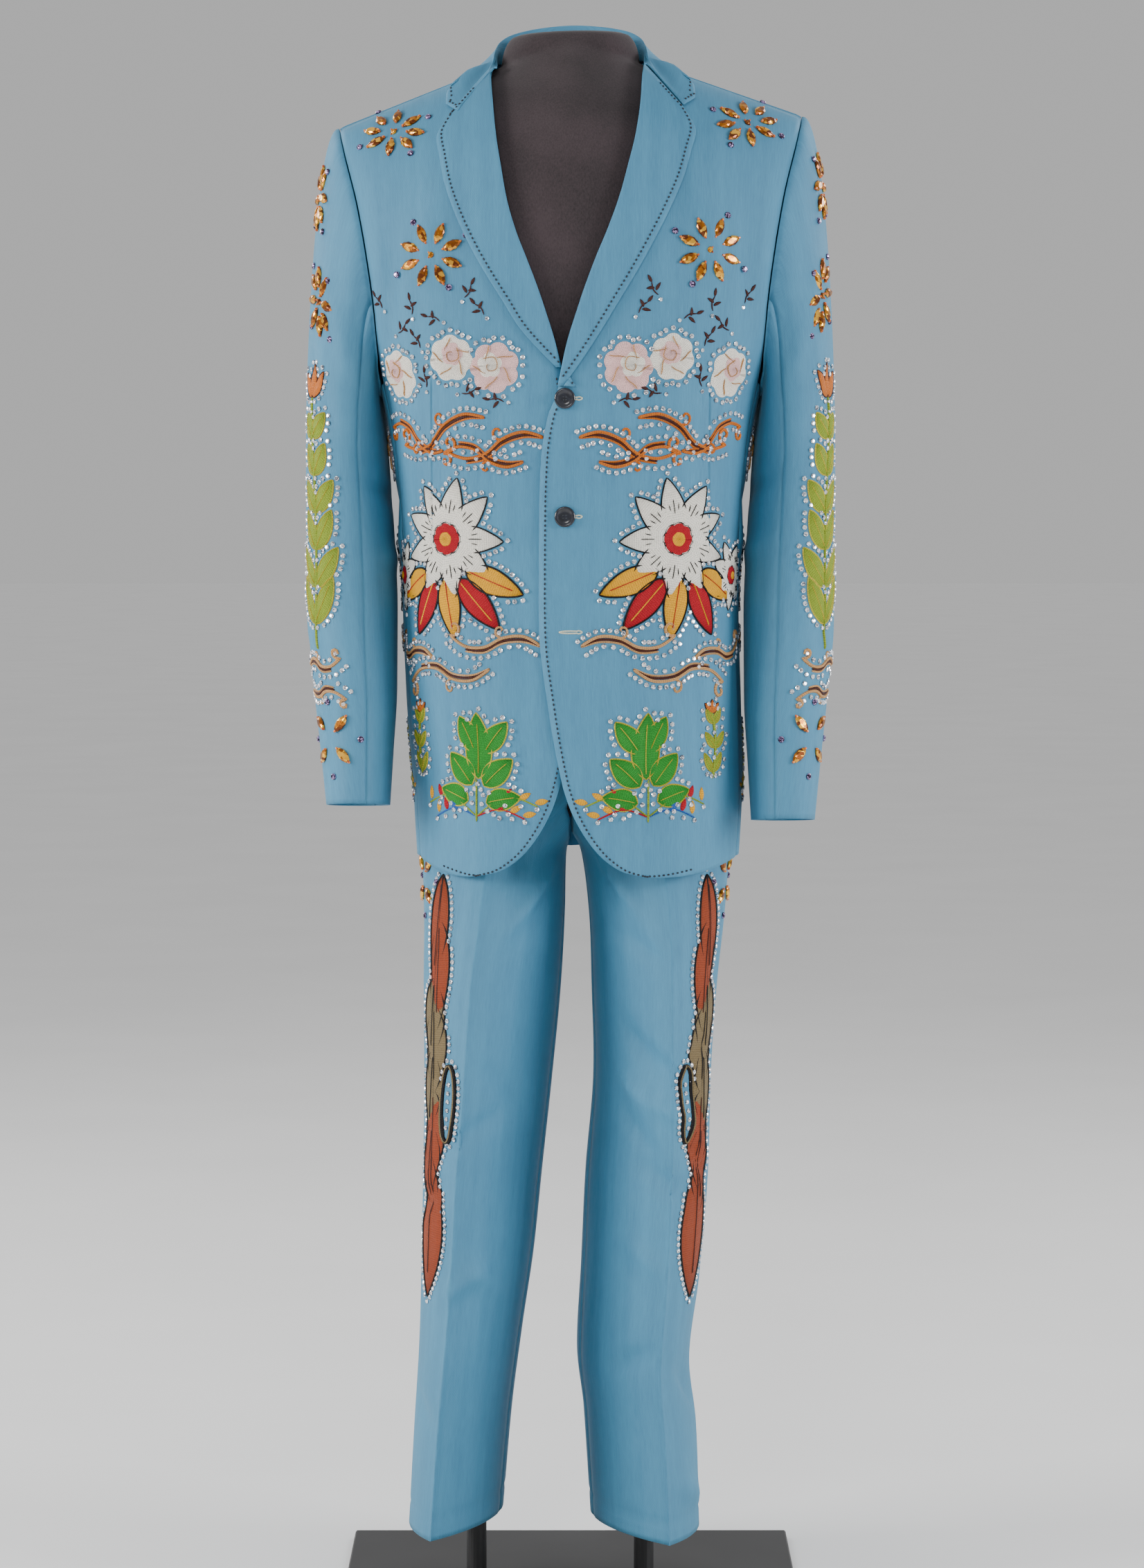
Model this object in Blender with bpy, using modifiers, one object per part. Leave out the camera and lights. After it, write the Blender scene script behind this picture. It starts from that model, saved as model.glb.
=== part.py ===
"""A western suit on a dress form: jacket and trousers of light cloth, hung on a limbless torso.

Every cloth piece is a thin wall laid out on one of three surfaces: the jacket body, a sleeve or a
trouser leg. The wearer's left is +X, the front is -Y, and the floor under the stand is Z = 0.
"""

import math

import bpy
from mathutils import Vector
from mathutils.bvhtree import BVHTree

WALL = 0.0016  # cloth and its interlining
SEAM = 0.0003  # parting between two sewn pieces
LIE = WALL + 0.0006  # a layer that lies on another one
ROUND = 2.4  # power of the body's rounded outline

# The jacket body from hem to shoulder: height, sideways shift, half width, front and back depth.
BODY = [
    ("z", "mid", "half", "front", "back"),
    (0.690, 0.007, 0.1505, 0.126, 0.134),
    (0.760, 0.007, 0.1545, 0.130, 0.134),
    (0.850, 0.003, 0.1570, 0.131, 0.129),
    (0.950, 0.000, 0.1575, 0.130, 0.117),
    (1.030, 0.000, 0.1620, 0.133, 0.112),
    (1.090, 0.000, 0.1680, 0.137, 0.116),
    (1.133, 0.000, 0.1760, 0.138, 0.122),
    (1.200, 0.000, 0.2000, 0.137, 0.128),
    (1.260, 0.000, 0.2110, 0.134, 0.130),
    (1.320, 0.000, 0.2230, 0.126, 0.128),
    (1.470, 0.000, 0.2450, 0.110, 0.118),
]

# The line of the shoulder seam and how far below it the front and back round off.
RIDGE_TOP = 1.4686
RIDGE_FALL = 0.371
RIDGE_Y = 0.012
RIDGE_ROUND = 0.150
NECK_X = 0.0705
SHOULDER_X = 0.2155
SHOULDER_TILT = 0.026

# The armhole seam from the underarm to the shoulder: height and distance from the middle.
ARMHOLE_FRONT = [
    ("z", "x"),
    (1.165, 0.1765),
    (1.210, 0.1800),
    (1.260, 0.1865),
    (1.315, 0.1965),
    (1.360, 0.2085),
]
ARMHOLE_BACK = [
    ("z", "x"),
    (1.165, 0.1775),
    (1.210, 0.1835),
    (1.260, 0.1900),
    (1.315, 0.1990),
    (1.360, 0.2090),
]
SIDE_FRONT_TURN = math.radians(14)
SIDE_BACK_TURN = math.radians(-35)
UNDERARM_EASE = 0.0032  # parting behind the underarm, where the sleeve sets off at a slant
UNDERARM = [("turn", "z"), (14, 1.144), (0, 1.134), (-18, 1.136), (-35, 1.150)]

# The front edge, then the roll line: height and distance from the line of the buttons.
CLOSE_X = -0.0085
CLOSE_X_TOP = -0.0035
FRONT_EDGE = [
    ("z", "x"),
    (0.6935, 0.0775),
    (0.6981, 0.0578),
    (0.7110, 0.0382),
    (0.7339, 0.0199),
    (0.7592, 0.0072),
    (0.7819, 0.0003),
    (0.8438, -0.0111),
    (0.9177, -0.0199),
    (1.0276, -0.0199),
    (1.0756, -0.0180),
    (1.1121, -0.0123),
    (1.1330, -0.0041),
    (1.1626, 0.0016),
    (1.2301, 0.0224),
    (1.3018, 0.0494),
    (1.3350, 0.0572),
    (1.3671, 0.0637),
    (1.4000, 0.0676),
    (1.4287, 0.0700),
]
LAPEL_EDGE = [
    ("z", "x"),
    (1.1330, -0.0041),
    (1.1708, 0.0224),
    (1.2163, 0.0508),
    (1.2645, 0.0792),
    (1.3275, 0.1069),
    (1.3676, 0.1158),
]
LAPEL_START = {1: 1.140, -1: 1.157}
LAPEL_FOOT = 0.0045  # width of the right lapel where it goes under the left front
LAPEL_IN = 0.0012  # how far a lapel lies inside its front's edge
NOTCH = (1.3895, 0.1030)
COLLAR_TIP = (1.3996, 0.1145)
HEM_SIDE = 0.7060
SIDE_ROWS = [HEM_SIDE, 0.760, 0.830, 0.900, 0.965, 1.030, 1.090, 1.150]
HEM_BACK = 0.7000
NECK_BACK_Z = 1.4470

# The collar from the gorge to the middle of the back: its fold line, where the leaf ends and the
# neck seam, with behind 1 where leaf and seam lie on the back.
COLLAR = [
    ("fold_x", "fold_y", "fold_z", "leaf_x", "leaf_z", "neck_x", "neck_z", "behind"),
    (0.0722, -0.026, 1.4390, 0.1140, 1.4045, 0.0705, 1.4350, 0),
    (0.0720, -0.014, 1.4440, 0.1115, 1.4120, 0.0705, 1.4378, 0),
    (0.0712, 0.000, 1.4510, 0.1065, 1.4220, 0.0705, 1.4405, 0),
    (0.0695, 0.016, 1.4585, 0.0990, 1.4305, 0.0700, 1.4424, 1),
    (0.0650, 0.033, 1.4670, 0.0860, 1.4290, 0.0600, 1.4425, 1),
    (0.0530, 0.049, 1.4750, 0.0690, 1.4270, 0.0450, 1.4430, 1),
    (0.0290, 0.061, 1.4810, 0.0370, 1.4260, 0.0250, 1.4450, 1),
    (0.0000, 0.066, 1.4835, 0.0000, 1.4250, 0.0000, 1.4470, 1),
]
COLLAR_LIE = LIE + 0.0025
COLLAR_FOLD = 0.0024
GORGE = [(0.0700, 1.4330), (0.0715, 1.4330), (0.0730, 1.4330), (0.0800, 1.4245)]
GORGE += [(0.0945, 1.4062), (0.1052, 1.3920), COLLAR_TIP[::-1]]

# A sleeve below the underarm: inner and outer side, middle and half depth front to back.
SLEEVE = [
    ("z", "inner", "outer", "mid", "deep"),
    (1.080, 0.1705, 0.2475, 0.004, 0.079),
    (1.000, 0.1650, 0.2475, 0.000, 0.077),
    (0.930, 0.1620, 0.2465, -0.010, 0.073),
    (0.860, 0.1620, 0.2395, -0.025, 0.069),
    (0.800, 0.1650, 0.2325, -0.038, 0.064),
    (0.748, 0.1680, 0.2270, -0.047, 0.059),
]
SLEEVE_DROP = {1: 0.008, -1: -0.006}
SLEEVE_FRONT_SEAM = math.radians(108)
SLEEVE_BACK_SEAM = math.radians(-118)

# A trouser leg from hem to waist: middle, half width, half depth, sharpness and turn of the crease.
LEG_LEFT = [
    ("z", "mid_x", "mid_y", "half", "deep", "crease", "turn"),
    (0.068, 0.0705, 0.006, 0.0500, 0.112, 0.92, 11),
    (0.169, 0.0655, 0.004, 0.0515, 0.113, 0.90, 11),
    (0.228, 0.0590, 0.002, 0.0510, 0.114, 0.88, 12),
    (0.308, 0.0655, 0.000, 0.0540, 0.117, 0.86, 11),
    (0.400, 0.0715, 0.000, 0.0560, 0.120, 0.84, 10),
    (0.490, 0.0765, 0.000, 0.0540, 0.121, 0.80, 8),
    (0.581, 0.0785, 0.000, 0.0580, 0.120, 0.76, 7),
    (0.655, 0.0810, 0.002, 0.0640, 0.112, 0.68, 5),
    (0.705, 0.0800, 0.006, 0.0700, 0.102, 0.60, 3),
    (0.760, 0.0560, 0.008, 0.0880, 0.101, 0.55, 1),
    (0.830, 0.0200, 0.006, 0.1240, 0.103, 0.50, 0),
    (0.950, 0.0000, 0.004, 0.1420, 0.107, 0.48, 0),
]
LEG_RIGHT = [
    ("z", "mid_x", "mid_y", "half", "deep", "crease", "turn"),
    (0.072, 0.1090, 0.006, 0.0420, 0.112, 0.92, 11),
    (0.169, 0.1020, 0.004, 0.0435, 0.113, 0.90, 11),
    (0.242, 0.0950, 0.002, 0.0460, 0.114, 0.88, 11),
    (0.327, 0.0875, 0.000, 0.0510, 0.117, 0.86, 11),
    (0.400, 0.0830, 0.000, 0.0540, 0.120, 0.84, 11),
    (0.490, 0.0775, 0.000, 0.0585, 0.121, 0.80, 10),
    (0.581, 0.0735, 0.000, 0.0635, 0.120, 0.76, 9),
    (0.655, 0.0715, 0.002, 0.0660, 0.112, 0.68, 6),
    (0.705, 0.0720, 0.006, 0.0680, 0.102, 0.60, 3),
    (0.760, 0.0500, 0.008, 0.0860, 0.101, 0.55, 1),
    (0.830, 0.0180, 0.006, 0.1240, 0.103, 0.50, 0),
    (0.950, 0.0000, 0.004, 0.1420, 0.107, 0.48, 0),
]
WAIST_SEAM_Z = 0.950
WAIST_TOP_Z = 0.990
HEM_TURN_UP = 0.030

# The dress form: the torso it fills, the neck stub and the stand.
FORM_OVAL = [
    ("z", "half", "deep", "mid_y"),
    (0.742, 0.103, 0.046, 0.008),
    (0.748, 0.109, 0.052, 0.008),
    (0.765, 0.114, 0.064, 0.007),
    (0.800, 0.120, 0.085, 0.006),
    (0.860, 0.128, 0.095, 0.005),
    (0.925, 0.1365, 0.1015, 0.004),
    (0.955, 0.1392, 0.1043, 0.004),
    (0.985, 0.1390, 0.1039, 0.004),
    (1.030, 0.142, 0.106, 0.002),
    (1.080, 0.150, 0.110, 0.002),
]
FORM_BOTTOM_Z = FORM_OVAL[1][0]
FORM_CLEAR = 0.0048
FORM_LOWER = 0.0042
FORM_TOP_Z = 1.4690
NECK_HALF = 0.0600
NECK_FRONT = 0.050
NECK_BACK = 0.040
ROD_RADIUS = 0.0095
ROD_X = {"left": 0.0700, "right": -0.0900}
BASE_SIZE = (0.430, 0.360, 0.008)
BASE_EDGE = 0.0015

BUTTON_RADIUS = 0.0095
BUTTON_THICK = 0.0032
BUTTON_X = -0.0052
BUTTON_HEIGHTS = {"button_upper": 1.1290, "button_lower": 1.0226}

# The amber marquise stones: half length, half width, height, and the ring that they stand in.
STONE = (0.0093, 0.0047, 0.0036)
STONE_ROOT = 0.0009
STONE_RING = 0.0205
CHEST_FLOWER = (1.2610, 0.1260)
SHOULDER_FLOWER = (1.3780, 0.1620)
SLEEVE_FLOWERS = [("z", "turn", "stones"), (1.322, 12, 8), (1.222, 40, 8), (0.818, 55, 4)]
LEG_FLOWER = (0.684, 68)

COLOURS = {
    "cloth": ((0.118, 0.320, 0.448, 1.0), 0.75),
    "form": ((0.030, 0.022, 0.024, 1.0), 0.90),
    "button": ((0.006, 0.007, 0.012, 1.0), 0.30),
    "stand": ((0.012, 0.012, 0.013, 1.0), 0.50),
}


def clear_scene():
    for obj in list(bpy.data.objects):
        bpy.data.objects.remove(obj, do_unlink=True)


def column(table, name):
    return [row[table[0].index(name)] for row in table[1:]]


def smooth(value, low, high):
    """0 below low, 1 above high, eased between."""
    t = min(max((value - low) / (high - low), 0.0), 1.0)
    return t * t * (3 - 2 * t)


def read(table, key, at, name):
    """The column name at height at, along a curve through the rows that keeps its slopes even."""
    xs, ys = column(table, key), column(table, name)
    if xs[0] > xs[-1]:
        xs, ys = xs[::-1], ys[::-1]
    if at <= xs[0]:
        return ys[0]
    if at >= xs[-1]:
        return ys[-1]
    i = max(k for k in range(len(xs) - 1) if xs[k] <= at)
    slopes = [(ys[k + 1] - ys[k]) / (xs[k + 1] - xs[k]) for k in range(len(xs) - 1)]

    def slope_at(k):
        if k == 0:
            return slopes[0]
        if k == len(xs) - 1:
            return slopes[-1]
        a, b = slopes[k - 1], slopes[k]
        return 0.0 if a * b <= 0 else 2 * a * b / (a + b)

    h = xs[i + 1] - xs[i]
    t = (at - xs[i]) / h
    return (
        (1 + 2 * t) * (1 - t) ** 2 * ys[i]
        + t * (1 - t) ** 2 * h * slope_at(i)
        + t * t * (3 - 2 * t) * ys[i + 1]
        + t * t * (t - 1) * h * slope_at(i + 1)
    )


def close_line(z):
    """The sideways place of the button line, which the fronts mirror about."""
    return CLOSE_X + (CLOSE_X_TOP - CLOSE_X) * smooth(z, 1.25, 1.40)


def ridge_z(x):
    return RIDGE_TOP - RIDGE_FALL * abs(x)


def turn_of(x, z):
    """The turn round the body, 0 at the side and 90 degrees at the middle, of a distance x."""
    share = min(max(abs(x) / read(BODY, "z", z, "half"), 0.0), 1.0)
    return math.acos(share ** (ROUND / 2))


def body(turn, z, side):
    """A point on the outside of the jacket; turn is positive in front and negative behind."""
    half = read(BODY, "z", z, "half")
    depth = read(BODY, "z", z, "front" if turn > 0 else "back")
    x = half * math.cos(turn) ** (2 / ROUND)
    y = depth * abs(math.sin(turn)) ** (2 / ROUND)
    under = min(max((ridge_z(x) - z) / RIDGE_ROUND, 0.0), 1.0)
    reach = math.sqrt(1 - (1 - under) ** 2)
    ridge_y = RIDGE_Y * smooth(z, 1.05, 1.20)
    y = ridge_y + ((-y if turn > 0 else y) - ridge_y) * reach
    return Vector((side * x + read(BODY, "z", z, "mid"), y, z))


def body_normal(turn, z, side):
    p = body(turn, z, side)
    x = abs(p.x - read(BODY, "z", z, "mid"))
    if ridge_z(x) - z < 0.0008:
        return Vector((side * RIDGE_FALL, 0, 1)).normalized()
    step = 0.004
    low = max(min(turn, math.pi / 2 - step), -math.pi / 2 + step)
    across = body(low + step, z, side) - body(low - step, z, side)
    up = min(0.002, 0.4 * (ridge_z(x) - z))
    along = body(turn, z + up, side) - body(turn, z - up, side)
    normal = across.cross(along).normalized()
    outward = Vector((p.x * 0.5, p.y - RIDGE_Y, 0.02))
    return normal if normal.dot(outward) > 0 else -normal


def on_body(x, z, side, front):
    """The point and normal at distance x from the middle of the body and height z."""
    turn = turn_of(x, z) * (1 if front else -1)
    return body(turn, z, side), body_normal(turn, z, side)


def lean(p):
    """The right shoulder hangs a little lower than the left."""
    return Vector((p.x, p.y, p.z + SHOULDER_TILT * p.x * smooth(p.z, 1.10, 1.35)))


def material(name):
    made = bpy.data.materials.get(name)
    if made:
        return made
    made = bpy.data.materials.new(name)
    made.use_nodes = True
    shader = made.node_tree.nodes["Principled BSDF"]
    colour, rough = COLOURS[name]
    shader.inputs["Base Color"].default_value = colour
    shader.inputs["Roughness"].default_value = rough
    made.diffuse_color = colour
    return made


def make_object(name, points, faces, finish):
    mesh = bpy.data.meshes.new(name)
    mesh.from_pydata([tuple(lean(p)) for p in points], [], faces)
    mesh.validate()
    obj = bpy.data.objects.new(name, mesh)
    parts.objects.link(obj)
    mesh.materials.append(material(finish))
    mesh.shade_smooth()
    mesh.set_sharp_from_angle(angle=math.radians(50))
    return obj


def volume_of(points, faces):
    """Six times the volume, measured from the first point, so that small shapes keep their sign."""
    total, origin = 0.0, points[0]
    for face in faces:
        a = points[face[0]] - origin
        for k in range(1, len(face) - 1):
            total += a.dot((points[face[k]] - origin).cross(points[face[k + 1]] - origin))
    return total


def make_wall(name, grid, finish="cloth", thick=WALL):
    """A cloth piece: rows of (outer point, normal), with its inside one wall behind them."""
    rows, cols = len(grid), len(grid[0])
    outer = [p for row in grid for p, n in row]
    inner = [p - n * thick for row in grid for p, n in row]
    under = rows * cols

    def at(i, j):
        return i * cols + j

    faces = []
    for i in range(rows - 1):
        for j in range(cols - 1):
            quad = (at(i, j), at(i, j + 1), at(i + 1, j + 1), at(i + 1, j))
            faces.append(quad)
            faces.append(tuple(under + k for k in reversed(quad)))
    rim = [at(0, j) for j in range(cols)]
    rim += [at(i, cols - 1) for i in range(1, rows)]
    rim += [at(rows - 1, j) for j in range(cols - 2, -1, -1)]
    rim += [at(i, 0) for i in range(rows - 2, 0, -1)]
    for k, a in enumerate(rim):
        b = rim[(k + 1) % len(rim)]
        faces.append((b, a, a + under, b + under))
    points = outer + inner
    if volume_of(points, faces) < 0:
        faces = [tuple(reversed(face)) for face in faces]
    return make_object(name, points, faces, finish)


def shrink(grid, left=0.0, right=0.0, top=0.0):
    """Draws a piece's edges back along the cloth, which parts it from its neighbour."""
    for row in grid:
        if left:
            row[0] = (row[0][0] + (row[1][0] - row[0][0]).normalized() * left, row[0][1])
        if right:
            row[-1] = (row[-1][0] + (row[-2][0] - row[-1][0]).normalized() * right, row[-1][1])
    for j in range(len(grid[0])):
        if top:
            way = (grid[-2][j][0] - grid[-1][j][0]).normalized()
            grid[-1][j] = (grid[-1][j][0] + way * top, grid[-1][j][1])
    return grid


def spread(low, high, count):
    return [low + (high - low) * k / (count - 1) for k in range(count)]


def armhole_x(z, table):
    rows = [table[0], *table[1:], (ridge_z(SHOULDER_X), SHOULDER_X)]
    return read(rows, "z", z, "x")


def body_row(low, high, side, front, cols):
    """Points across a panel from (x, z) at its inner edge to (x, z) at its outer edge."""
    (x0, z0), (x1, z1) = low, high
    half0, half1 = read(BODY, "z", z0, "half"), read(BODY, "z", z1, "half")
    turn0 = math.copysign(math.acos(min(abs(x0) / half0, 1) ** (ROUND / 2)), 1)
    if x0 < 0:
        turn0 = math.pi - turn0
    turn1 = turn_of(x1, z1)
    row = []
    for s in spread(0, 1, cols):
        turn = turn0 + (turn1 - turn0) * s
        cosine = math.cos(turn)
        half = half0 + (half1 - half0) * s
        x = math.copysign(half * abs(cosine) ** (2 / ROUND), cosine)
        x = x0 if s == 0 else x1 if s == 1 else x
        z = z0 + (z1 - z0) * (x - x0) / (x1 - x0)
        point, normal = on_body(abs(x), z, -side if x < 0 else side, front)
        if s == 0 and not front:
            normal = Vector((0, normal.y, normal.z)).normalized()
        row.append((point, normal))
    return row


def front_lift(p, side):
    """The wearer's left front closes over the right one."""
    if side < 0:
        return 0.0
    inside = p.x - close_line(p.z)
    return LIE * (1 - smooth(inside, 0.026, 0.085)) * (1 - smooth(p.z, 1.165, 1.215))


def own_x(offset, z, side):
    """The distance from the body's middle, on the panel's own side, of an offset from the close."""
    return offset + side * (close_line(z) - read(BODY, "z", z, "mid"))


def raised(row, side, height=0.0):
    return [(p + n * (front_lift(p, side) + height), n) for p, n in row]


def front_panel(side):
    rows = []
    heights = column(FRONT_EDGE, "z")
    hem_rows = len([z for z in heights if z < 0.80])
    low, high = heights[hem_rows - 1], 1.1330
    for k, z in enumerate(heights):
        if k < hem_rows:
            z_out = HEM_SIDE + (low - HEM_SIDE) * k / (hem_rows - 1)
        elif z <= high:
            z_out = z
        else:
            z_out = None
        x_in = own_x(read(FRONT_EDGE, "z", z, "x"), z, side)
        if z_out is not None:
            z_out = min(z_out, read(UNDERARM, "turn", 14, "z"))
            half = read(BODY, "z", z_out, "half")
            x_out = half * math.cos(SIDE_FRONT_TURN) ** (2 / ROUND)
        else:
            share = (z - high) / (heights[-1] - high)
            z_out = 1.144 + (1.360 - 1.144) * share
            x_out = armhole_x(z_out, ARMHOLE_FRONT)
            if z_out < 1.165:
                half = read(BODY, "z", z_out, "half")
                side_x = half * math.cos(SIDE_FRONT_TURN) ** (2 / ROUND)
                x_out = min(x_out, side_x)
        rows.append(raised(body_row((x_in, z), (x_out, z_out), side, True, 11), side))
    shoulder = (SHOULDER_X, ridge_z(SHOULDER_X))
    rows.append(body_row((NECK_X, ridge_z(NECK_X)), shoulder, side, True, 11))
    half_seam = SEAM / 2
    return shrink(rows, right=half_seam, top=half_seam)


def back_panel(side):
    inner = [(0.0, HEM_BACK), (0.0, 0.760), (0.0, 0.830), (0.0, 0.900), (0.0, 0.965)]
    inner += [(0.0, 1.030), (0.0, 1.090), (0.0, 1.140)]
    inner += [(0.0, 1.167), (0.0, 1.195), (0.0, 1.250), (0.0, 1.305), (0.0, 1.360), (0.0, 1.410)]
    inner += [(0.0, NECK_BACK_Z), (0.038, 1.4425), (NECK_X, ridge_z(NECK_X))]
    sides = SIDE_ROWS
    arms = [ARMHOLE_BACK[1][0], *spread(1.185, 1.368, 7), ridge_z(SHOULDER_X)]
    rows = []
    for k, (x, z) in enumerate(inner):
        if k < len(sides):
            z_out = sides[k]
            half = read(BODY, "z", z_out, "half")
            x_out = half * math.cos(SIDE_BACK_TURN) ** (2 / ROUND)
        else:
            z_out = arms[k - len(sides)]
            parting = UNDERARM_EASE * (1 - smooth(z_out, 1.166, 1.184))
            x_out = armhole_x(z_out, ARMHOLE_BACK) - parting
        x_in = x if x else -side * read(BODY, "z", z, "mid")
        rows.append(body_row((x_in, z), (x_out, z_out), side, False, 8))
    half_seam = SEAM / 2
    return shrink(rows, left=half_seam, right=half_seam, top=half_seam)


def side_panel(side):
    rows = []
    turns = spread(SIDE_FRONT_TURN, SIDE_BACK_TURN, 5)
    for height in SIDE_ROWS:
        share = (height - HEM_SIDE) / (SIDE_ROWS[-1] - HEM_SIDE)
        row = []
        for turn in turns:
            top = read(UNDERARM, "turn", math.degrees(turn), "z")
            z = HEM_SIDE + (top - HEM_SIDE) * share
            row.append((body(turn, z, side), body_normal(turn, z, side)))
        rows.append(row)
    half_seam = SEAM / 2
    return shrink(rows, left=half_seam, right=half_seam)


def lapel(side):
    """The turned-back part of a front, from the roll line to its edge, lying on the front."""
    start = LAPEL_START[side]
    outer = [start, 1.1708, 1.194, 1.2163, 1.2400, 1.2645, 1.2960, 1.3275, 1.3500, 1.3676]
    inner = [start, 1.178, 1.205, 1.2301, 1.2560, 1.2800, 1.3100, 1.3400, 1.3670, 1.3990]
    rows = []
    for z_in, z_out in zip(inner, outer):
        x_in = own_x(read(FRONT_EDGE, "z", z_in, "x") + LAPEL_IN, z_in, side)
        edge = read(LAPEL_EDGE, "z", z_out, "x") + LAPEL_IN
        if side < 0:
            edge = min(edge, LAPEL_FOOT + z_out - start)
        x_out = max(own_x(edge, z_out, side), x_in + 0.003)
        rows.append(body_row((x_in, z_in), (x_out, z_out), side, True, 7))
    z_in = 1.4260
    x_in = own_x(read(FRONT_EDGE, "z", z_in, "x") + LAPEL_IN, z_in, side)
    rows.append(body_row((x_in, z_in), (own_x(NOTCH[1], NOTCH[0], side), NOTCH[0]), side, True, 7))
    return [raised(row, side, LIE + 0.0008 * smooth(row[0][0].z, 1.33, 1.38)) for row in rows]


def collar_sections():
    """Half the collar, gorge to back: each line runs from the foot over the fold to the leaf's edge."""
    lines = []
    gorge = []
    for x, z in GORGE:
        p, normal = on_body(own_x(x, z, 1), z, 1, True)
        gorge.append(p + normal * COLLAR_LIE)
    lines.append(gorge)
    up = Vector((0, 0, 1))
    for row in COLLAR[1:]:
        fold = Vector(row[:3])
        front = not row[7]
        neck = on_body(row[5], row[6], 1, front)[0]
        leaf, leaf_normal = on_body(row[3], row[4], 1, front)
        edge = leaf + leaf_normal * COLLAR_LIE
        inward = Vector((-fold.x, RIDGE_Y - 0.004 - fold.y, 0)).normalized()
        foot = neck + inward * 0.0028 + up * 0.0010
        inside = fold + inward * COLLAR_FOLD - up * 0.004
        outside = fold - inward * COLLAR_FOLD - up * 0.004
        line = [foot, foot.lerp(inside, 0.5), inside, fold, outside]
        half_way = outside.lerp(edge, 0.5) - inward * 0.0012
        if half_way.z < ridge_z(half_way.x):
            under, normal = on_body(half_way.x, half_way.z, 1, front)
            half_way += normal * max(COLLAR_LIE * 1.7 - (half_way - under).dot(normal), 0)
        line += [half_way, edge]
        lines.append(line)
    return lines


def sleeve_ring(turn, z, side):
    inner, outer = read(SLEEVE, "z", z, "inner"), read(SLEEVE, "z", z, "outer")
    deep = read(SLEEVE, "z", z, "deep")
    x = (inner + outer) / 2 + (outer - inner) / 2 * math.copysign(
        abs(math.cos(turn)) ** (2 / 2.2), math.cos(turn)
    )
    y = read(SLEEVE, "z", z, "mid") - deep * math.copysign(
        abs(math.sin(turn)) ** (2 / 2.2), math.sin(turn)
    )
    return x, y


def armhole_loop():
    """The armhole seam on the wearer's left, as front and back halves from shoulder to underarm."""
    halves = []
    for table, way in ((ARMHOLE_FRONT, 1), (ARMHOLE_BACK, -1)):
        points = []
        for z in spread(ridge_z(SHOULDER_X), 1.165, 14):
            x = min(armhole_x(z, table), SHOULDER_X)
            turn = turn_of(x, z) * way
            points.append(body(turn, z, 1))
        first = 21 if way > 0 else -35
        for turn in spread(first, -4, 8)[1:]:
            z = read(UNDERARM, "turn", min(turn, 14), "z")
            z += 0.021 * smooth(turn, 12, 21)
            points.append(body(math.radians(turn), z, 1))
        halves.append(points)
    return halves


def along(points, share):
    """The point at a share of the length of a run of points."""
    lengths = [0.0]
    for a, b in zip(points, points[1:]):
        lengths.append(lengths[-1] + (b - a).length)
    target = share * lengths[-1]
    for k in range(len(points) - 1):
        if target <= lengths[k + 1] or k == len(points) - 2:
            t = (target - lengths[k]) / (lengths[k + 1] - lengths[k])
            return points[k].lerp(points[k + 1], min(max(t, 0), 1))
    return points[-1]


def sleeve(turn, down, side):
    """A point on a sleeve: down is 0 at the armhole, 1 at the underarm ring, and 2 at the cuff."""
    turn = (turn + math.pi) % (2 * math.pi) - math.pi
    drop = SLEEVE_DROP[side]
    top_z, cuff_z = SLEEVE[1][0], SLEEVE[-1][0]
    if down >= 1:
        z = top_z + (cuff_z - top_z) * (down - 1)
        x, y = sleeve_ring(turn, z, side)
        shift = -drop * (down - 1) - 0.10 * (y + 0.045) * smooth(down, 1.6, 2.0)
        return Vector((side * x, y, z + shift))
    loop = armhole[0] if turn >= 0 else armhole[1]
    start = along(loop, abs(turn) / math.pi) + Vector((SEAM + 0.0002, 0, 0))
    x, y = sleeve_ring(turn, top_z, side)
    end = Vector((x, y, top_z))
    reach = (end - start).length
    leave = Vector((0.21 * reach, 0, 0.02 * reach))
    arrive = Vector((0, 0, -reach))
    t = down
    p = start * (1 + 2 * t) * (1 - t) ** 2 + leave * t * (1 - t) ** 2
    p += end * t * t * (3 - 2 * t) + arrive * t * t * (t - 1)
    return Vector((side * p.x, p.y, p.z))


def sleeve_normal(turn, down, side):
    step, low = 0.01, max(down, 0.02)
    low = min(low, 1.98)
    across = sleeve(turn + step, low, side) - sleeve(turn - step, low, side)
    fall = sleeve(turn, low + 0.01, side) - sleeve(turn, low - 0.01, side)
    normal = across.cross(fall).normalized()
    p = sleeve(turn, low, side)
    middle = Vector((side * 0.205, -0.01, p.z - 0.03))
    return normal if normal.dot(p - middle) > 0 else -normal


def sleeve_panel(first, last, cols, side):
    downs = [0.0, 0.06, 0.16, 0.32, 0.52, 0.76, 1.0, 1.2, 1.4, 1.6, 1.8, 2.0]
    rows = []
    for down in downs:
        row = []
        for turn in spread(first, last, cols):
            row.append((sleeve(turn, down, side), sleeve_normal(turn, down, side)))
        rows.append(row)
    return shrink(rows, left=SEAM * 0.7, right=SEAM * 0.7)


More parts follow.
